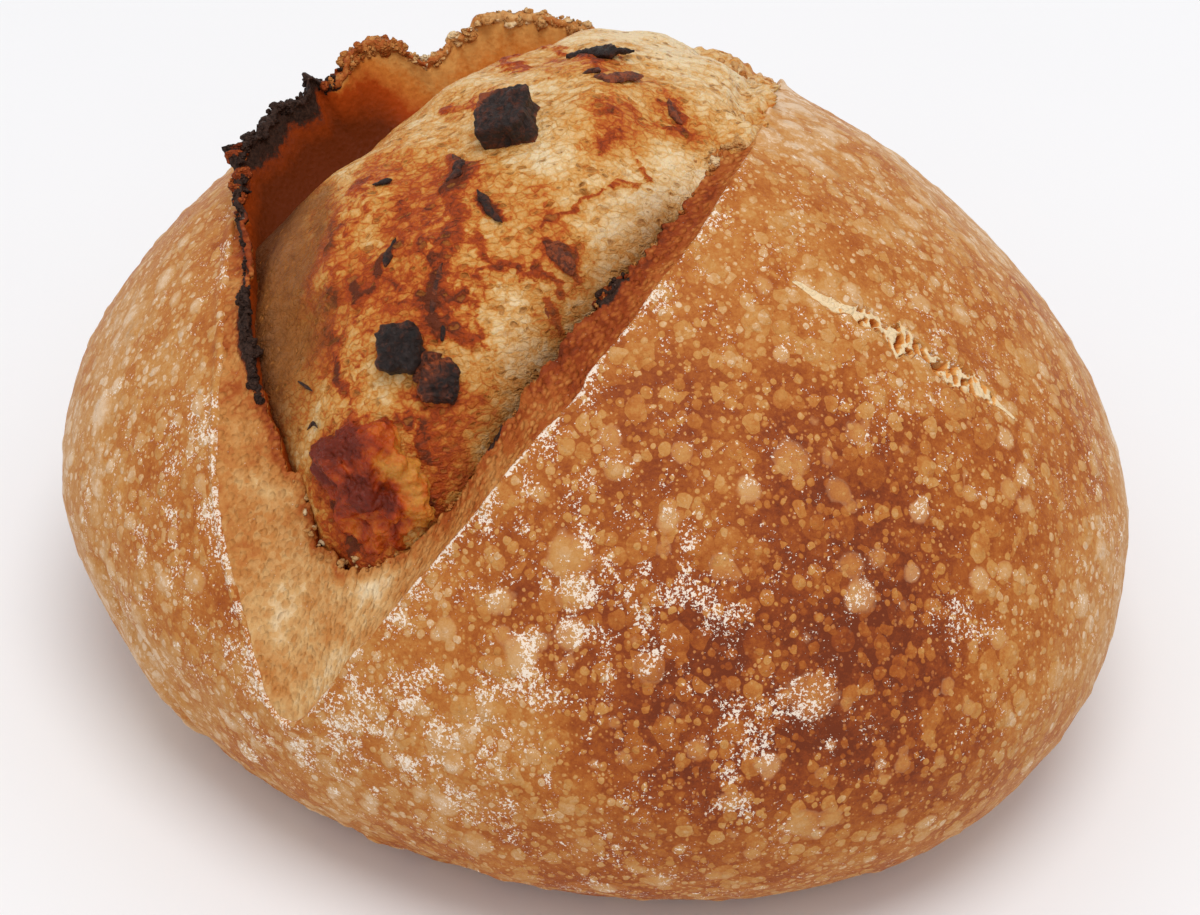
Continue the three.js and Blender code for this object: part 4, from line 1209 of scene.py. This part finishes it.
class LOAF_OT_shoulder_tear(bpy.types.Operator):
    """Builds the gluten strands that bridge the tear on the right shoulder"""

    bl_idname = "loaf.shoulder_tear"
    bl_label = "Shoulder tear"

    def execute(self, context):
        look = context.scene.loaf_crust
        along = TEAR_TO - TEAR_FROM
        length = np.linalg.norm(along)
        rows, columns = TEAR_POINTS
        share, side = np.meshgrid(np.linspace(0.005, 0.995, rows), np.linspace(-1.35, 1.35, columns), indexing="ij")
        _, middle, width = tear_place(TEAR_FROM[0] + share * along[0], TEAR_FROM[1] + share * along[1])
        across = np.array([-along[1], along[0]]) / length
        offset = (side - middle) * width
        p = TEAR_FROM[0] + share * along[0] + offset * across[0]
        q = TEAR_FROM[1] + share * along[1] + offset * across[1]
        plain = chart_point(p, q)
        # Threads cross the tear between round openings, which close up towards its ends.
        walk = np.stack([share * length / 0.8, offset / 1.9], -1) + 0.7 * rough(plain, 1.6, 73, 3)[..., None]
        away, number = cells(walk, 1.25, 77)
        opening = smooth(0.52, 0.3, away) * smooth(0.3, 0.4, number + 0.25 * smooth(0.25, 0.7, share))
        opening *= smooth(0.1, 0.35, share) * smooth(1.0, 0.93, share)
        inside = smooth(1.1, 0.75, np.abs(side))
        wide = smooth(0.9, 1.5, width)
        depth = inside * lerp(-0.1, lerp(0.15, TEAR_DEPTH, opening), wide) - 0.05 * (1 - inside)
        depth += 0.3 * smooth(1.0, 1.35, np.abs(side))
        height = crust_relief(plain) - depth + 0.15 * rough(plain, 1.0, 19, 3) * inside
        points = plain + chart_direction(p, q) * height[..., None]
        quads = grid_quads(share.shape).reshape(-1, 4)
        below = chart_point(*(TEAR_FROM + along / 2)[:, None], -6.0)
        # The openings are painted darker and more orange than the strands: painted shade in the holes.
        shade = inside * opening * wide
        fields = {"char": 0 * shade - 1, "bake": lerp(0.3, -0.16, inside) + 0.75 * shade, "flour": 0.5 * (1 - shade),
                  "inner": 0.3 * shade}
        fields = {k: np.append(v.ravel(), 0) for k, v in fields.items()}
        fields["chart"] = np.append(np.stack([p, q, 0 * p], -1).reshape(-1, 3), [[0, 0, 0]], 0)
        add_piece("shoulder_tear", np.concatenate([points.reshape(-1, 3), below]),
                  [quads, closing_fan(quads, share.size)], fields, torn_skin_material(look))
        return {"FINISHED"}


# ---- The burst crumb ----
# Browned cheese and tomato on the crumb, each as (half width, strength, places along it) in the chart. Most places
# here and in the next tables were picked by eye, then turned into chart millimetres by a scratch program.
STREAKS = [
    (2.4, 0.8, [(-2.5, -2), (-4.5, 0.5), (-7.5, 3.5), (-11.5, 5), (-16, 9), (-20.5, 10.5)]),
    (2.3, 0.8, [(-22, 10.5), (-25, 11), (-28.5, 11.5), (-31.5, 13)]),
    (2.2, 1.0, [(-6, 4.5), (-8.5, 4.5)]),
    (1.0, 0.8, [(-30.5, -5), (-32.5, -2), (-30.5, -0.5)]),
    (0.5, 0.9, [(-32, -8.5), (-33.5, -9.5), (-36, -8)]),
    (2.0, 0.55, [(-10.5, -15.5), (-16, -12), (-20, -10.5), (-24, -10.5)]),
    (0.9, 1.0, [(-21.5, 15.5), (-18.5, 17.5), (-17.5, 21), (-17.5, 24.5), (-17.5, 28.5)]),
    (1.3, 0.9, [(-30.5, 15), (-30.5, 17.5), (-32, 20), (-32.5, 22.5)]),
    (1.4, 1.0, [(-12.5, 23.5), (-12, 26), (-13.5, 28.5)]),
    (1.5, 0.9, [(-21, 27), (-21.5, 29), (-22, 30.5)]),
    (2.2, 0.6, [(15.5, 17), (13, 19.5), (9, 20)]),
    (0.7, 1.0, [(11, 27), (8.5, 29)]),
    (0.6, 0.75, [(7, 29), (3.5, 26.5), (0, 25), (-4, 23.5), (-8, 21)]),
    (1.3, 0.9, [(27, 22), (24.5, 25), (24.5, 28)]),
    (0.8, 0.8, [(20.5, 24.5), (23, 26)]),
    (1.4, 0.7, [(34, -12), (33, -5.5), (28, 2)]),
    (1.5, 0.7, [(27, 4.5), (23.5, 10.5)]),
    (2.0, 0.8, [(30, -18), (28, -15), (21.5, -6.5)]),
    (2.2, 0.7, [(8.5, -10.5), (10.5, -6), (12.5, -2.5)]),
    (0.5, 0.8, [(17.5, 0.5), (19.5, 3)]),
    (1.4, 0.6, [(-30.5, -16.5), (-33.5, -14.5), (-37.5, -14.5)]),
    (1.6, 0.7, [(-39.5, -7.5), (-40.5, -3.5)]),
    (1.5, 0.6, [(-41, -3.5), (-44.5, -2.5), (-47.5, 0)]),
    (0.6, 0.6, [(-31.5, 5), (-30, 11)]),
    (2.2, 0.6, [(-54.5, 6), (-52, 10.5), (-48.5, 14.5)]),
    (1.8, 0.5, [(-44, 14), (-42.5, 19.5), (-43.5, 22)]),
    (1.6, 0.55, [(-13.5, 1.5), (-18.5, 6.5), (-23, 6)]),
    (1.6, 0.5, [(-14, -4.5), (-18, 0.5), (-23, 1)]),
    (1.6, 0.6, [(-16.5, 13), (-19, 16), (-24, 17)]),
    (1.8, 0.6, [(-25.5, 15), (-27, 18.5), (-31, 18.5)]),
    (1.2, 0.5, [(-25, -4), (-28, 2), (-27, 8)]),
    (3.0, 0.7, [(-66, 4), (-72, 8)]),
]
# Burnt parts of them.
BURNT = [
    (0.9, 0.9, [(-5, 2.5), (-8, 3.5), (-9.5, 2.5)]),
    (1.0, 1.0, [(-9.5, 9), (-11.5, 12), (-12, 14.5)]),
    (0.7, 1.0, [(-26.5, 0.5), (-24, 0), (-22, 0)]),
    (1.1, 0.9, [(-23.5, 9.5), (-27, 10.5), (-31, 11.5)]),
    (1.0, 0.9, [(-12.5, 24), (-13, 25.5)]),
    (0.8, 0.8, [(-21.5, 28), (-22, 29.5)]),
]
# Clean crumb.
CLEAN = [
    (5, 1, [(-3, 5.5), (1, 17.5)]), (6, 0.6, [(3.5, 31.5), (-6, 30)]), (6, 0.4, [(-26.5, 29), (-33, 26)]),
    (5, 0.9, [(-46.5, 8), (-53, -4.5)]), (4, 0.9, [(-24, 21.5), (-28, 22)]), (3, 0.8, [(-23, -7)] * 2),
    (10, 1.4, [(34, 12), (50, 10)]), (5, 0.8, [(-1, -8), (4, -16)]), (5, 0.9, [(14, 4), (18, -2)]),
    (8, 1.2, [(36, 26), (56, 14)]), (8, 1.2, [(44, -4), (60, 4)]), (6, 0.7, [(0, 30), (16, 32)]),
]
# Where melted cheese has soaked in.
STAINS = [
    (14, 1.0, [(-12, -3), (-29, 6.5)]), (10, 1.0, [(-25, -11.5), (-35.5, 7.5)]),
    (9, 0.9, [(-42, -6), (-50, 4)]), (8, 1.3, [(-43.5, 18), (-60, 20)]), (8, 0.8, [(14.5, 16.5), (20, 22)]),
    (8, 0.6, [(9.5, -20.5), (-5, -14)]), (8, 0.9, [(28, 4), (26, 26)]), (11, 1.3, [(-55, 4), (-72, 8)]),
    (7, 0.6, [(-4, 12), (-12, 24)]), (7, 1.0, [(-46, 22), (-62, 24)]),
]


def crumb_height(p, q):
    """The burst crumb's surface, and the share of the way from its middle to its edge."""
    bearing = bearing_of(p, q)
    share = np.hypot(p, q) / burst_reach(bearing)
    height = lerp(BURST_CROWN, burst_edge(bearing), np.minimum(share, 1.2) ** burst_fall(bearing))
    bare = chart_point(p, q, height)
    return bare + chart_direction(p, q) * swells(bare, BURST_LUMPS)[..., None], share


def crumb_frame(at, turn):
    """The frame of a place on the crumb: X along p, Y across, Z outwards, turned about Z."""
    step = 2.0

    def place(dp, dq):
        return crumb_height(np.array([at[0] + dp]), np.array([at[1] + dq]))[0][0]

    along = place(step, 0) - place(-step, 0)
    across = place(0, step) - place(0, -step)
    out = np.cross(across, along)
    along, out = along / np.linalg.norm(along), out / np.linalg.norm(out)
    left = np.cross(out, along)
    angle = math.radians(turn)
    x = along * math.cos(angle) + left * math.sin(angle)
    return np.stack([x, np.cross(out, x), out]), place(0, 0)


class LOAF_OT_crumb(bpy.types.Operator):
    """Builds the burst crumb that fills the slash"""

    bl_idname = "loaf.crumb"
    bl_label = "Burst crumb"

    def execute(self, context):
        look = context.scene.loaf_crumb
        step = look.spacing / MM
        p, q = np.meshgrid(np.arange(-92, 90, step), np.arange(-52, 46, step), indexing="ij")
        plain, share = crumb_height(p, q)
        bearing = bearing_of(p, q)
        # A sheet of clear dough is drawn out across the pocket on the near left.
        sheet_and_shade = sector(bearing, 182, 198, 256, 276)
        sheet_and_shade *= smooth(0.46, 0.68, share + 0.14 * rough(plain, 6, 63, 3))
        upper = sector(bearing, 218, 232, 258, 272)
        # The same mask paints shade along the crumb's right edge, where it dips under the torn skin.
        sheet_and_shade += 0.7 * sector(bearing, 60, 85, 145, 165) * smooth(0.66, 1.0, share)
        heading = look.stretch_heading
        # Pores and fibres are drawn out along the stretch.
        drawn = np.stack([
            (p * math.cos(heading) + q * math.sin(heading)) * 0.5,
            q * math.cos(heading) - p * math.sin(heading)], -1)
        drawn = drawn + 0.7 * np.stack([cloud(plain, 4, 61), cloud(plain, 4, 62)], -1)
        away, number = cells(drawn, look.pore_size / MM, 9)
        open_share = np.clip((number - 0.6) / 0.4, 0, 1) * smooth(-0.5, 0.6, cloud(plain, 14, 66))
        # Open pores sink into the crumb, and the same mask paints shade into them.
        pit = np.clip(1 - (away / (0.1 + 0.32 * open_share)) ** 2, 0, 1) * (open_share > 0) * (1 - sheet_and_shade)
        fibres = rough(drawn, 1.3, 71, 3)
        # Tomato and cheese lie in ragged, broken strokes with a paler halo of fat.
        place = np.stack([p, q], -1)
        place = place + np.stack([rough(plain, 3.2, 45, 4), rough(plain, 3.2, 48, 4)], -1) * 2.4
        broken = np.clip(1.05 + 0.9 * rough(plain, 2.6, 53, 3), 0.3, 1.25)
        streak, burnt = strokes(place, STREAKS) * broken, strokes(place, BURNT)
        streak += 0.6 * smooth(0.1, 0.6, rough(plain, 5, 57, 4)) * strokes(place, STAINS)
        halo = strokes(place, [(2.2 * width, strength, line) for width, strength, line in STREAKS])
        stain = 0.24 + 0.3 * strokes(place, STAINS) + 0.16 * halo - 0.14 * strokes(place, CLEAN)
        stain += 0.2 * rough(plain, 7, 35, 3)
        stain += 0.14 * (1 - on_lined_side(bearing)) * smooth(0.8, 1.0, share)
        stain += 0.9 * np.clip(sheet_and_shade * (1 - sheet_and_shade), 0, 1) * smooth(180, 190, bearing)
        relief = 0.55 * rough(plain, 9, 81, 2) + 0.22 * fibres * (1 - 0.7 * sheet_and_shade) - look.pore_depth / MM * pit
        relief += 0.35 * smooth(0.3, 0.8, streak) * (1 + 0.8 * rough(plain, 1.6, 91, 3)) + 0.4 * burnt
        # The far end tore into crags.
        far = (1 - on_lined_side(bearing)) * smooth(0.6, 0.95, share) * smooth(335, 350, (bearing + 180) % 360 + 180)
        relief += far * (0.4 + 2.6 * rough(plain, 5, 47, 4))
        points = plain + chart_direction(p, q) * relief[..., None]
        # Only the quads inside the crumb's edge are kept, and closed from below.
        inside = share <= 1
        kept = inside[:-1, :-1] & inside[1:, :-1] & inside[:-1, 1:] & inside[1:, 1:]
        used, quads = np.unique(grid_quads(p.shape)[kept], return_inverse=True)
        quads = quads.reshape(-1, 4)
        root = chart_point(np.zeros(1), np.zeros(1), -BURST_ROOT_DEPTH)
        # Painted shade on the sheet and along the right edge, growing towards the crumb's edge and starting further
        # in on the upper part of the pocket.
        shade = sheet_and_shade * smooth(lerp(0.75, 0.6, upper), lerp(1.0, 0.85, upper), share)
        fields = {"stain": stain + 0.25 * burnt, "streak": np.maximum(streak, 1.2 * burnt), "pit": 0.5 * pit,
                  "sheet_and_shade": 0.95 * sheet_and_shade, "shade": shade}
        fields = {k: np.append(v.ravel()[used], 0) for k, v in fields.items()}
        chart = np.stack([p, q, 0 * p], -1).reshape(-1, 3)[used]
        fields["chart"] = np.concatenate([chart, [[0, 0, -BURST_ROOT_DEPTH]]])
        add_piece("burst_crumb", np.concatenate([points.reshape(-1, 3)[used], root]),
                  [quads, closing_fan(quads, len(used))], fields, crumb_material(look))
        return {"FINISHED"}


# ---- The filling ----
# Each charred cube: the node it stands for, its place in the chart, its size along p, across and up, the share of
# it below the crumb's surface, its turn about the outward direction, its boxiness and how brown it is.
BLOCKS = [
    ("charred_cube_crown", (5.5, 5), (8.7, 8.3, 6.6), 0.3, 28, 12, 0.12),
    ("charred_cube_front", (-38, 9.5), (7.8, 7.0, 5.5), 0.4, 20, 4, 0.0),
    ("charred_cube_low", (-40.8, 17), (6.6, 6.4, 4.5), 0.4, 20, 3.5, 0.12),
]
# Flakes and shreds of filling stuck on the crumb: half width, thickness, how far the end stands off, how far
# from burnt, and places along it.
FLAKES = [
    (1.0, 1.3, 0.3, 0.25, [(-2.5, -1.5), (-4.5, 1.5), (-6.5, 3), (-9, 2)]),
    (0.8, 1.3, 0.4, 0.15, [(-9, 8.5), (-11.5, 12), (-12.5, 15)]),
    (0.7, 1.0, 0.3, 0.05, [(-13, -10.5), (-11, -8)]),
    (1.5, 1.3, 0.5, 0.4, [(-12, 22.5), (-12.5, 26), (-14, 29)]),
    (0.7, 1.1, 0.3, 0.15, [(-26.5, 0.5), (-24, 0), (-21.5, 0)]),
    (0.9, 0.7, 0.2, 0.5, [(-20.5, 26.5), (-21.5, 29), (-22.5, 31)]),
    (1.3, 1.0, 0.8, 0.4, [(21.5, 10.5), (22, 13), (24.5, 14), (27.5, 16)]),
    (0.7, 1.0, 0.5, 0.2, [(21.5, 8), (23, 9.5), (22.5, 11)]),
    (0.9, 0.9, 0.3, 0.4, [(27.5, 21.5), (25.5, 23.5), (24.5, 26.5)]),
    (0.5, 0.9, 0.2, 0.1, [(-32, 14), (-34.5, 15)]),
    (0.6, 0.6, 0.1, 0.3, [(-23, 10), (-27, 10.5), (-31.5, 12)]),
    (0.3, 0.5, 0.5, 0.1, [(-47.5, -11), (-48.5, -6.5)]),
    (0.3, 0.5, 0.5, 0.1, [(-55, -7), (-53.5, -5.5), (-54, -2.5)]),
    (2.6, 2.4, 0.2, 0.35, [(-37, 12), (-40, 14.5), (-42, 15.5)]),
]
# The charred strip, given like a flake.
STRIP = (1.5, 2.0, 1.6, 0.05, [(28.5, -0.5), (29.5, 2.5), (30.5, 6), (32.5, 10.5)])
# The melted lump: its place, size, sunk share, turn and boxiness.
LUMP = ((-61, 10.5), (20, 15, 8), 0.6, 25, 2.2)
# A darker and a paler patch of it, as (x, y, radius, strength) in its own frame.
LUMP_PATCHES = [(0, -1, 3.5, 0.35), (-7, 4, 4, -0.1)]
# Cuts along each edge of the box that a cube or the lump is rounded from.
CUBE_CUTS = 30
LUMP_CUTS = 56
FLAKE_STEP = 0.22  # between a flake's rings of points


def flake(mark, seed):
    """A flake that follows its places over the crumb, ragged and pointed: a tube's points and faces."""
    half_width, thickness, stand_off, _, places = mark
    places = np.array(places, float)
    walked = np.concatenate([[0], np.cumsum(np.linalg.norm(np.diff(places, axis=0), axis=1))])
    share = np.linspace(0, 1, max(14, int(walked[-1] / FLAKE_STEP)))
    line = np.stack([np.interp(share * walked[-1], walked, places[:, k]) for k in range(2)], -1)
    line[1:-1] = (line[:-2] + 2 * line[1:-1] + line[2:]) / 4
    ahead = np.gradient(line, axis=0)
    ahead /= np.linalg.norm(ahead, axis=1)[:, None]
    walk = np.stack([share * walked[-1], 0 * share + seed * 7.3], -1)
    width = half_width * np.sin(np.pi * np.clip(share, 0.02, 0.99)) ** 0.6 * (1 + 0.7 * rough(walk, 1.8, seed, 3))
    turn = np.linspace(0, 2 * np.pi, 20, endpoint=False)
    side = np.sin(turn) * width[:, None] + 0.3 * half_width * rough(walk, 2.5, seed + 5, 2)[:, None]
    up = thickness * (0.5 * np.cos(turn) * np.minimum(1, width / half_width + 0.1)[:, None] + 0.15)
    up = up + stand_off * share[:, None] ** 2
    p = line[:, :1] - ahead[:, 1:] * side
    q = line[:, 1:] + ahead[:, :1] * side
    points = crumb_height(p, q)[0]
    uneven = 0.22 * thickness * rough(points, 0.9, 33, 3) + 0.15 * thickness * rough(points, 2.4, 37, 2)
    return tube(points + chart_direction(p, q) * (up + uneven)[..., None])


def block_points(size, boxiness, cuts):
    """A box's even grid drawn in to a superellipsoid: points in millimetres, ways out, and quads."""
    shape = bmesh.new()
    bmesh.ops.create_cube(shape, size=2)
    bmesh.ops.subdivide_edges(shape, edges=shape.edges[:], cuts=cuts, use_grid_fill=True)
    shape.verts.index_update()
    way = np.array([v.co[:] for v in shape.verts])
    quads = np.array([[v.index for v in f.verts] for f in shape.faces])
    shape.free()
    way /= np.linalg.norm(way, axis=1)[:, None]
    reach = (np.abs(way) ** boxiness).sum(1) ** (-1 / boxiness)
    return way * reach[:, None] * np.array(size) / 2, way, quads


def placed(points, at, turn):
    """Points of a piece's own frame, set on the crumb."""
    axes, origin = crumb_frame(at, turn)
    return points @ axes + origin


class LOAF_OT_filling(bpy.types.Operator):
    """Builds the charred cubes"""

    bl_idname = "loaf.filling"
    bl_label = "Charred filling"

    def execute(self, context):
        look = context.scene.loaf_filling
        material = charred_material(look)
        for name, at, size, sunk, turn, boxiness, brown in BLOCKS:
            points, way, quads = block_points(size, boxiness, CUBE_CUTS)
            relief = 0.3 * rough(points + at[0], 4.5, 31, 2) + 0.2 * swell(points, 5, 3.3 + at[0])
            bark = rough(points * np.array([1.9, 1.4, 0.25]) + at[0], 1.5, 33, 3)
            relief += look.roughness / MM * (1.1 * bark - np.abs(rough(points + at[1], 2.2, 35, 2)))
            points = points + way * relief[:, None]
            points[:, 2] += size[2] / 2 * (1 - 2 * sunk)
            browned = brown + 0.3 * smooth(0.4, -1.0, points[:, 2])
            corner = (points[:, 1] + 0.6 * points[:, 0]) / size[1] + 0.9 * rough(points + at[0], 3.6, 39, 3)
            browned += 0.5 * smooth(0.05, 0.9, corner)
            add_piece("dressed_" + name, placed(points, at, turn), [quads], {"brown": browned}, material,
                      (name,))
        return {"FINISHED"}


class LOAF_OT_lump(bpy.types.Operator):
    """Builds the melted lump at the near end of the burst"""

    bl_idname = "loaf.lump"
    bl_label = "Melted lump"

    def execute(self, context):
        look = context.scene.loaf_filling
        at, size, sunk, turn, boxiness = LUMP
        points, way, quads = block_points(size, boxiness, LUMP_CUTS)
        relief = 2.4 * rough(points, 8, 51, 2) + 2.4 * rough(points + 1.5 * way, 4, 55, 4)
        relief -= 0.9 * np.abs(rough(points, 2.4, 59, 3))
        points = points + way * relief[:, None]
        points[:, 2] += size[2] / 2 * (1 - 2 * sunk)
        dark = 0.1 + 0.3 * smooth(2, 8, points[:, 0]) - 0.4 * smooth(0, -6, points[:, 1])
        dark += 0.35 * rough(points, 3, 53, 3) + blobs(points[:, :2], LUMP_PATCHES)
        add_piece("dressed_melted_lump", placed(points, at, turn), [quads], {"dark": dark}, melted_material(look),
                  ("melted_lump",))
        return {"FINISHED"}


class LOAF_OT_flakes(bpy.types.Operator):
    """Builds the charred strip and the small flakes of filling stuck on the crumb"""

    bl_idname = "loaf.flakes"
    bl_label = "Filling flakes"

    def execute(self, context):
        material = charred_material(context.scene.loaf_filling)
        points, faces = flake(STRIP, 60)
        brown = np.full(len(points), STRIP[3])
        add_piece("dressed_charred_strip", points, faces, {"brown": brown}, material,
                  ("charred_strip",))
        flakes = [flake(mark, seed) for seed, mark in enumerate(FLAKES)]
        points, faces = joined(flakes)
        brown = np.repeat([mark[3] for mark in FLAKES], [len(one) for one, _ in flakes])
        add_piece("filling_flakes", points, faces, {"brown": brown}, material, ())
        return {"FINISHED"}


# ---- The stage ----
class LOAF_OT_stage(bpy.types.Operator):
    """Builds the table, the soft lights and the camera"""

    bl_idname = "loaf.stage"
    bl_label = "Table, lights and camera"

    def execute(self, context):
        look = context.scene.loaf_stage
        scene = context.scene
        half = 4.0
        mesh = bpy.data.meshes.new("table")
        mesh.from_pydata([(-half, -half, 0), (half, -half, 0), (half, half, 0), (-half, half, 0)], [], [(0, 1, 2, 3)])
        mesh.materials.append(table_material(look))
        table = bpy.data.objects.new("table", mesh)
        scene.collection.objects.link(table)

        sky = bpy.data.worlds.new("soft_sky")
        sky.use_nodes = True
        background = sky.node_tree.nodes["Background"]
        background.inputs["Color"].default_value = (1, 1, 1, 1)
        background.inputs["Strength"].default_value = look.sky_strength
        scene.world = sky
        lamp = bpy.data.lights.new("soft_box", "AREA")
        lamp.shape = "DISK"
        lamp.size = look.lamp_size
        lamp.energy = look.lamp_strength
        box = bpy.data.objects.new("soft_box", lamp)
        box.location = look.lamp_place
        middle = Vector((0, 0, 0.04))
        box.rotation_euler = (middle - box.location).to_track_quat("-Z", "Y").to_euler()
        scene.collection.objects.link(box)

        camera = bpy.data.cameras.new("camera")
        camera.sensor_width = 36
        camera.lens = look.camera_lens
        camera.clip_start = 0.01
        view = bpy.data.objects.new("camera", camera)
        back = Vector((0, -math.cos(look.camera_elevation), math.sin(look.camera_elevation)))
        view.location = Vector(look.camera_target) + back * look.camera_distance
        view.rotation_euler = (math.pi / 2 - look.camera_elevation, 0, 0)
        scene.collection.objects.link(view)
        scene.camera = view
        scene.view_settings.view_transform = "Standard"
        return {"FINISHED"}


class LOAF_PT_panel(bpy.types.Panel):
    """Lists the loaf's pieces and their sizes and colours"""

    bl_idname = "LOAF_PT_panel"
    bl_label = "Sourdough loaf"
    bl_space_type = "VIEW_3D"
    bl_region_type = "UI"
    bl_category = "Loaf"

    def draw(self, context):
        for operator in OPERATORS:
            self.layout.operator(operator.bl_idname)
        for look in LOOKS:
            box = self.layout.box()
            settings = getattr(context.scene, look)
            for name in settings.__annotations__:
                box.prop(settings, name)


LOOKS = {
    "loaf_crust": CrustLook,
    "loaf_crumb": CrumbLook,
    "loaf_filling": FillingLook,
    "loaf_stage": StageLook,
}
OPERATORS = (
    LOAF_OT_stage,
    LOAF_OT_crust,
    LOAF_OT_cut_faces,
    LOAF_OT_rim_crumbs,
    LOAF_OT_shoulder_tear,
    LOAF_OT_crumb,
    LOAF_OT_filling,
    LOAF_OT_lump,
    LOAF_OT_flakes,
)


def register():
    for look in LOOKS.values():
        bpy.utils.register_class(look)
    for operator in (*OPERATORS, LOAF_PT_panel):
        bpy.utils.register_class(operator)
    for name, look in LOOKS.items():
        setattr(bpy.types.Scene, name, bpy.props.PointerProperty(type=look))


def unregister():
    for name in LOOKS:
        delattr(bpy.types.Scene, name)
    for operator in (LOAF_PT_panel, *reversed(OPERATORS)):
        bpy.utils.unregister_class(operator)
    for look in LOOKS.values():
        bpy.utils.unregister_class(look)


def main():
    register()
    bpy.ops.loaf.stage()
    bpy.ops.loaf.crust()
    bpy.ops.loaf.cut_faces()
    bpy.ops.loaf.rim_crumbs()
    bpy.ops.loaf.shoulder_tear()
    bpy.ops.loaf.crumb()
    bpy.ops.loaf.filling()
    bpy.ops.loaf.lump()
    bpy.ops.loaf.flakes()


if __name__ == "__main__":
    main()
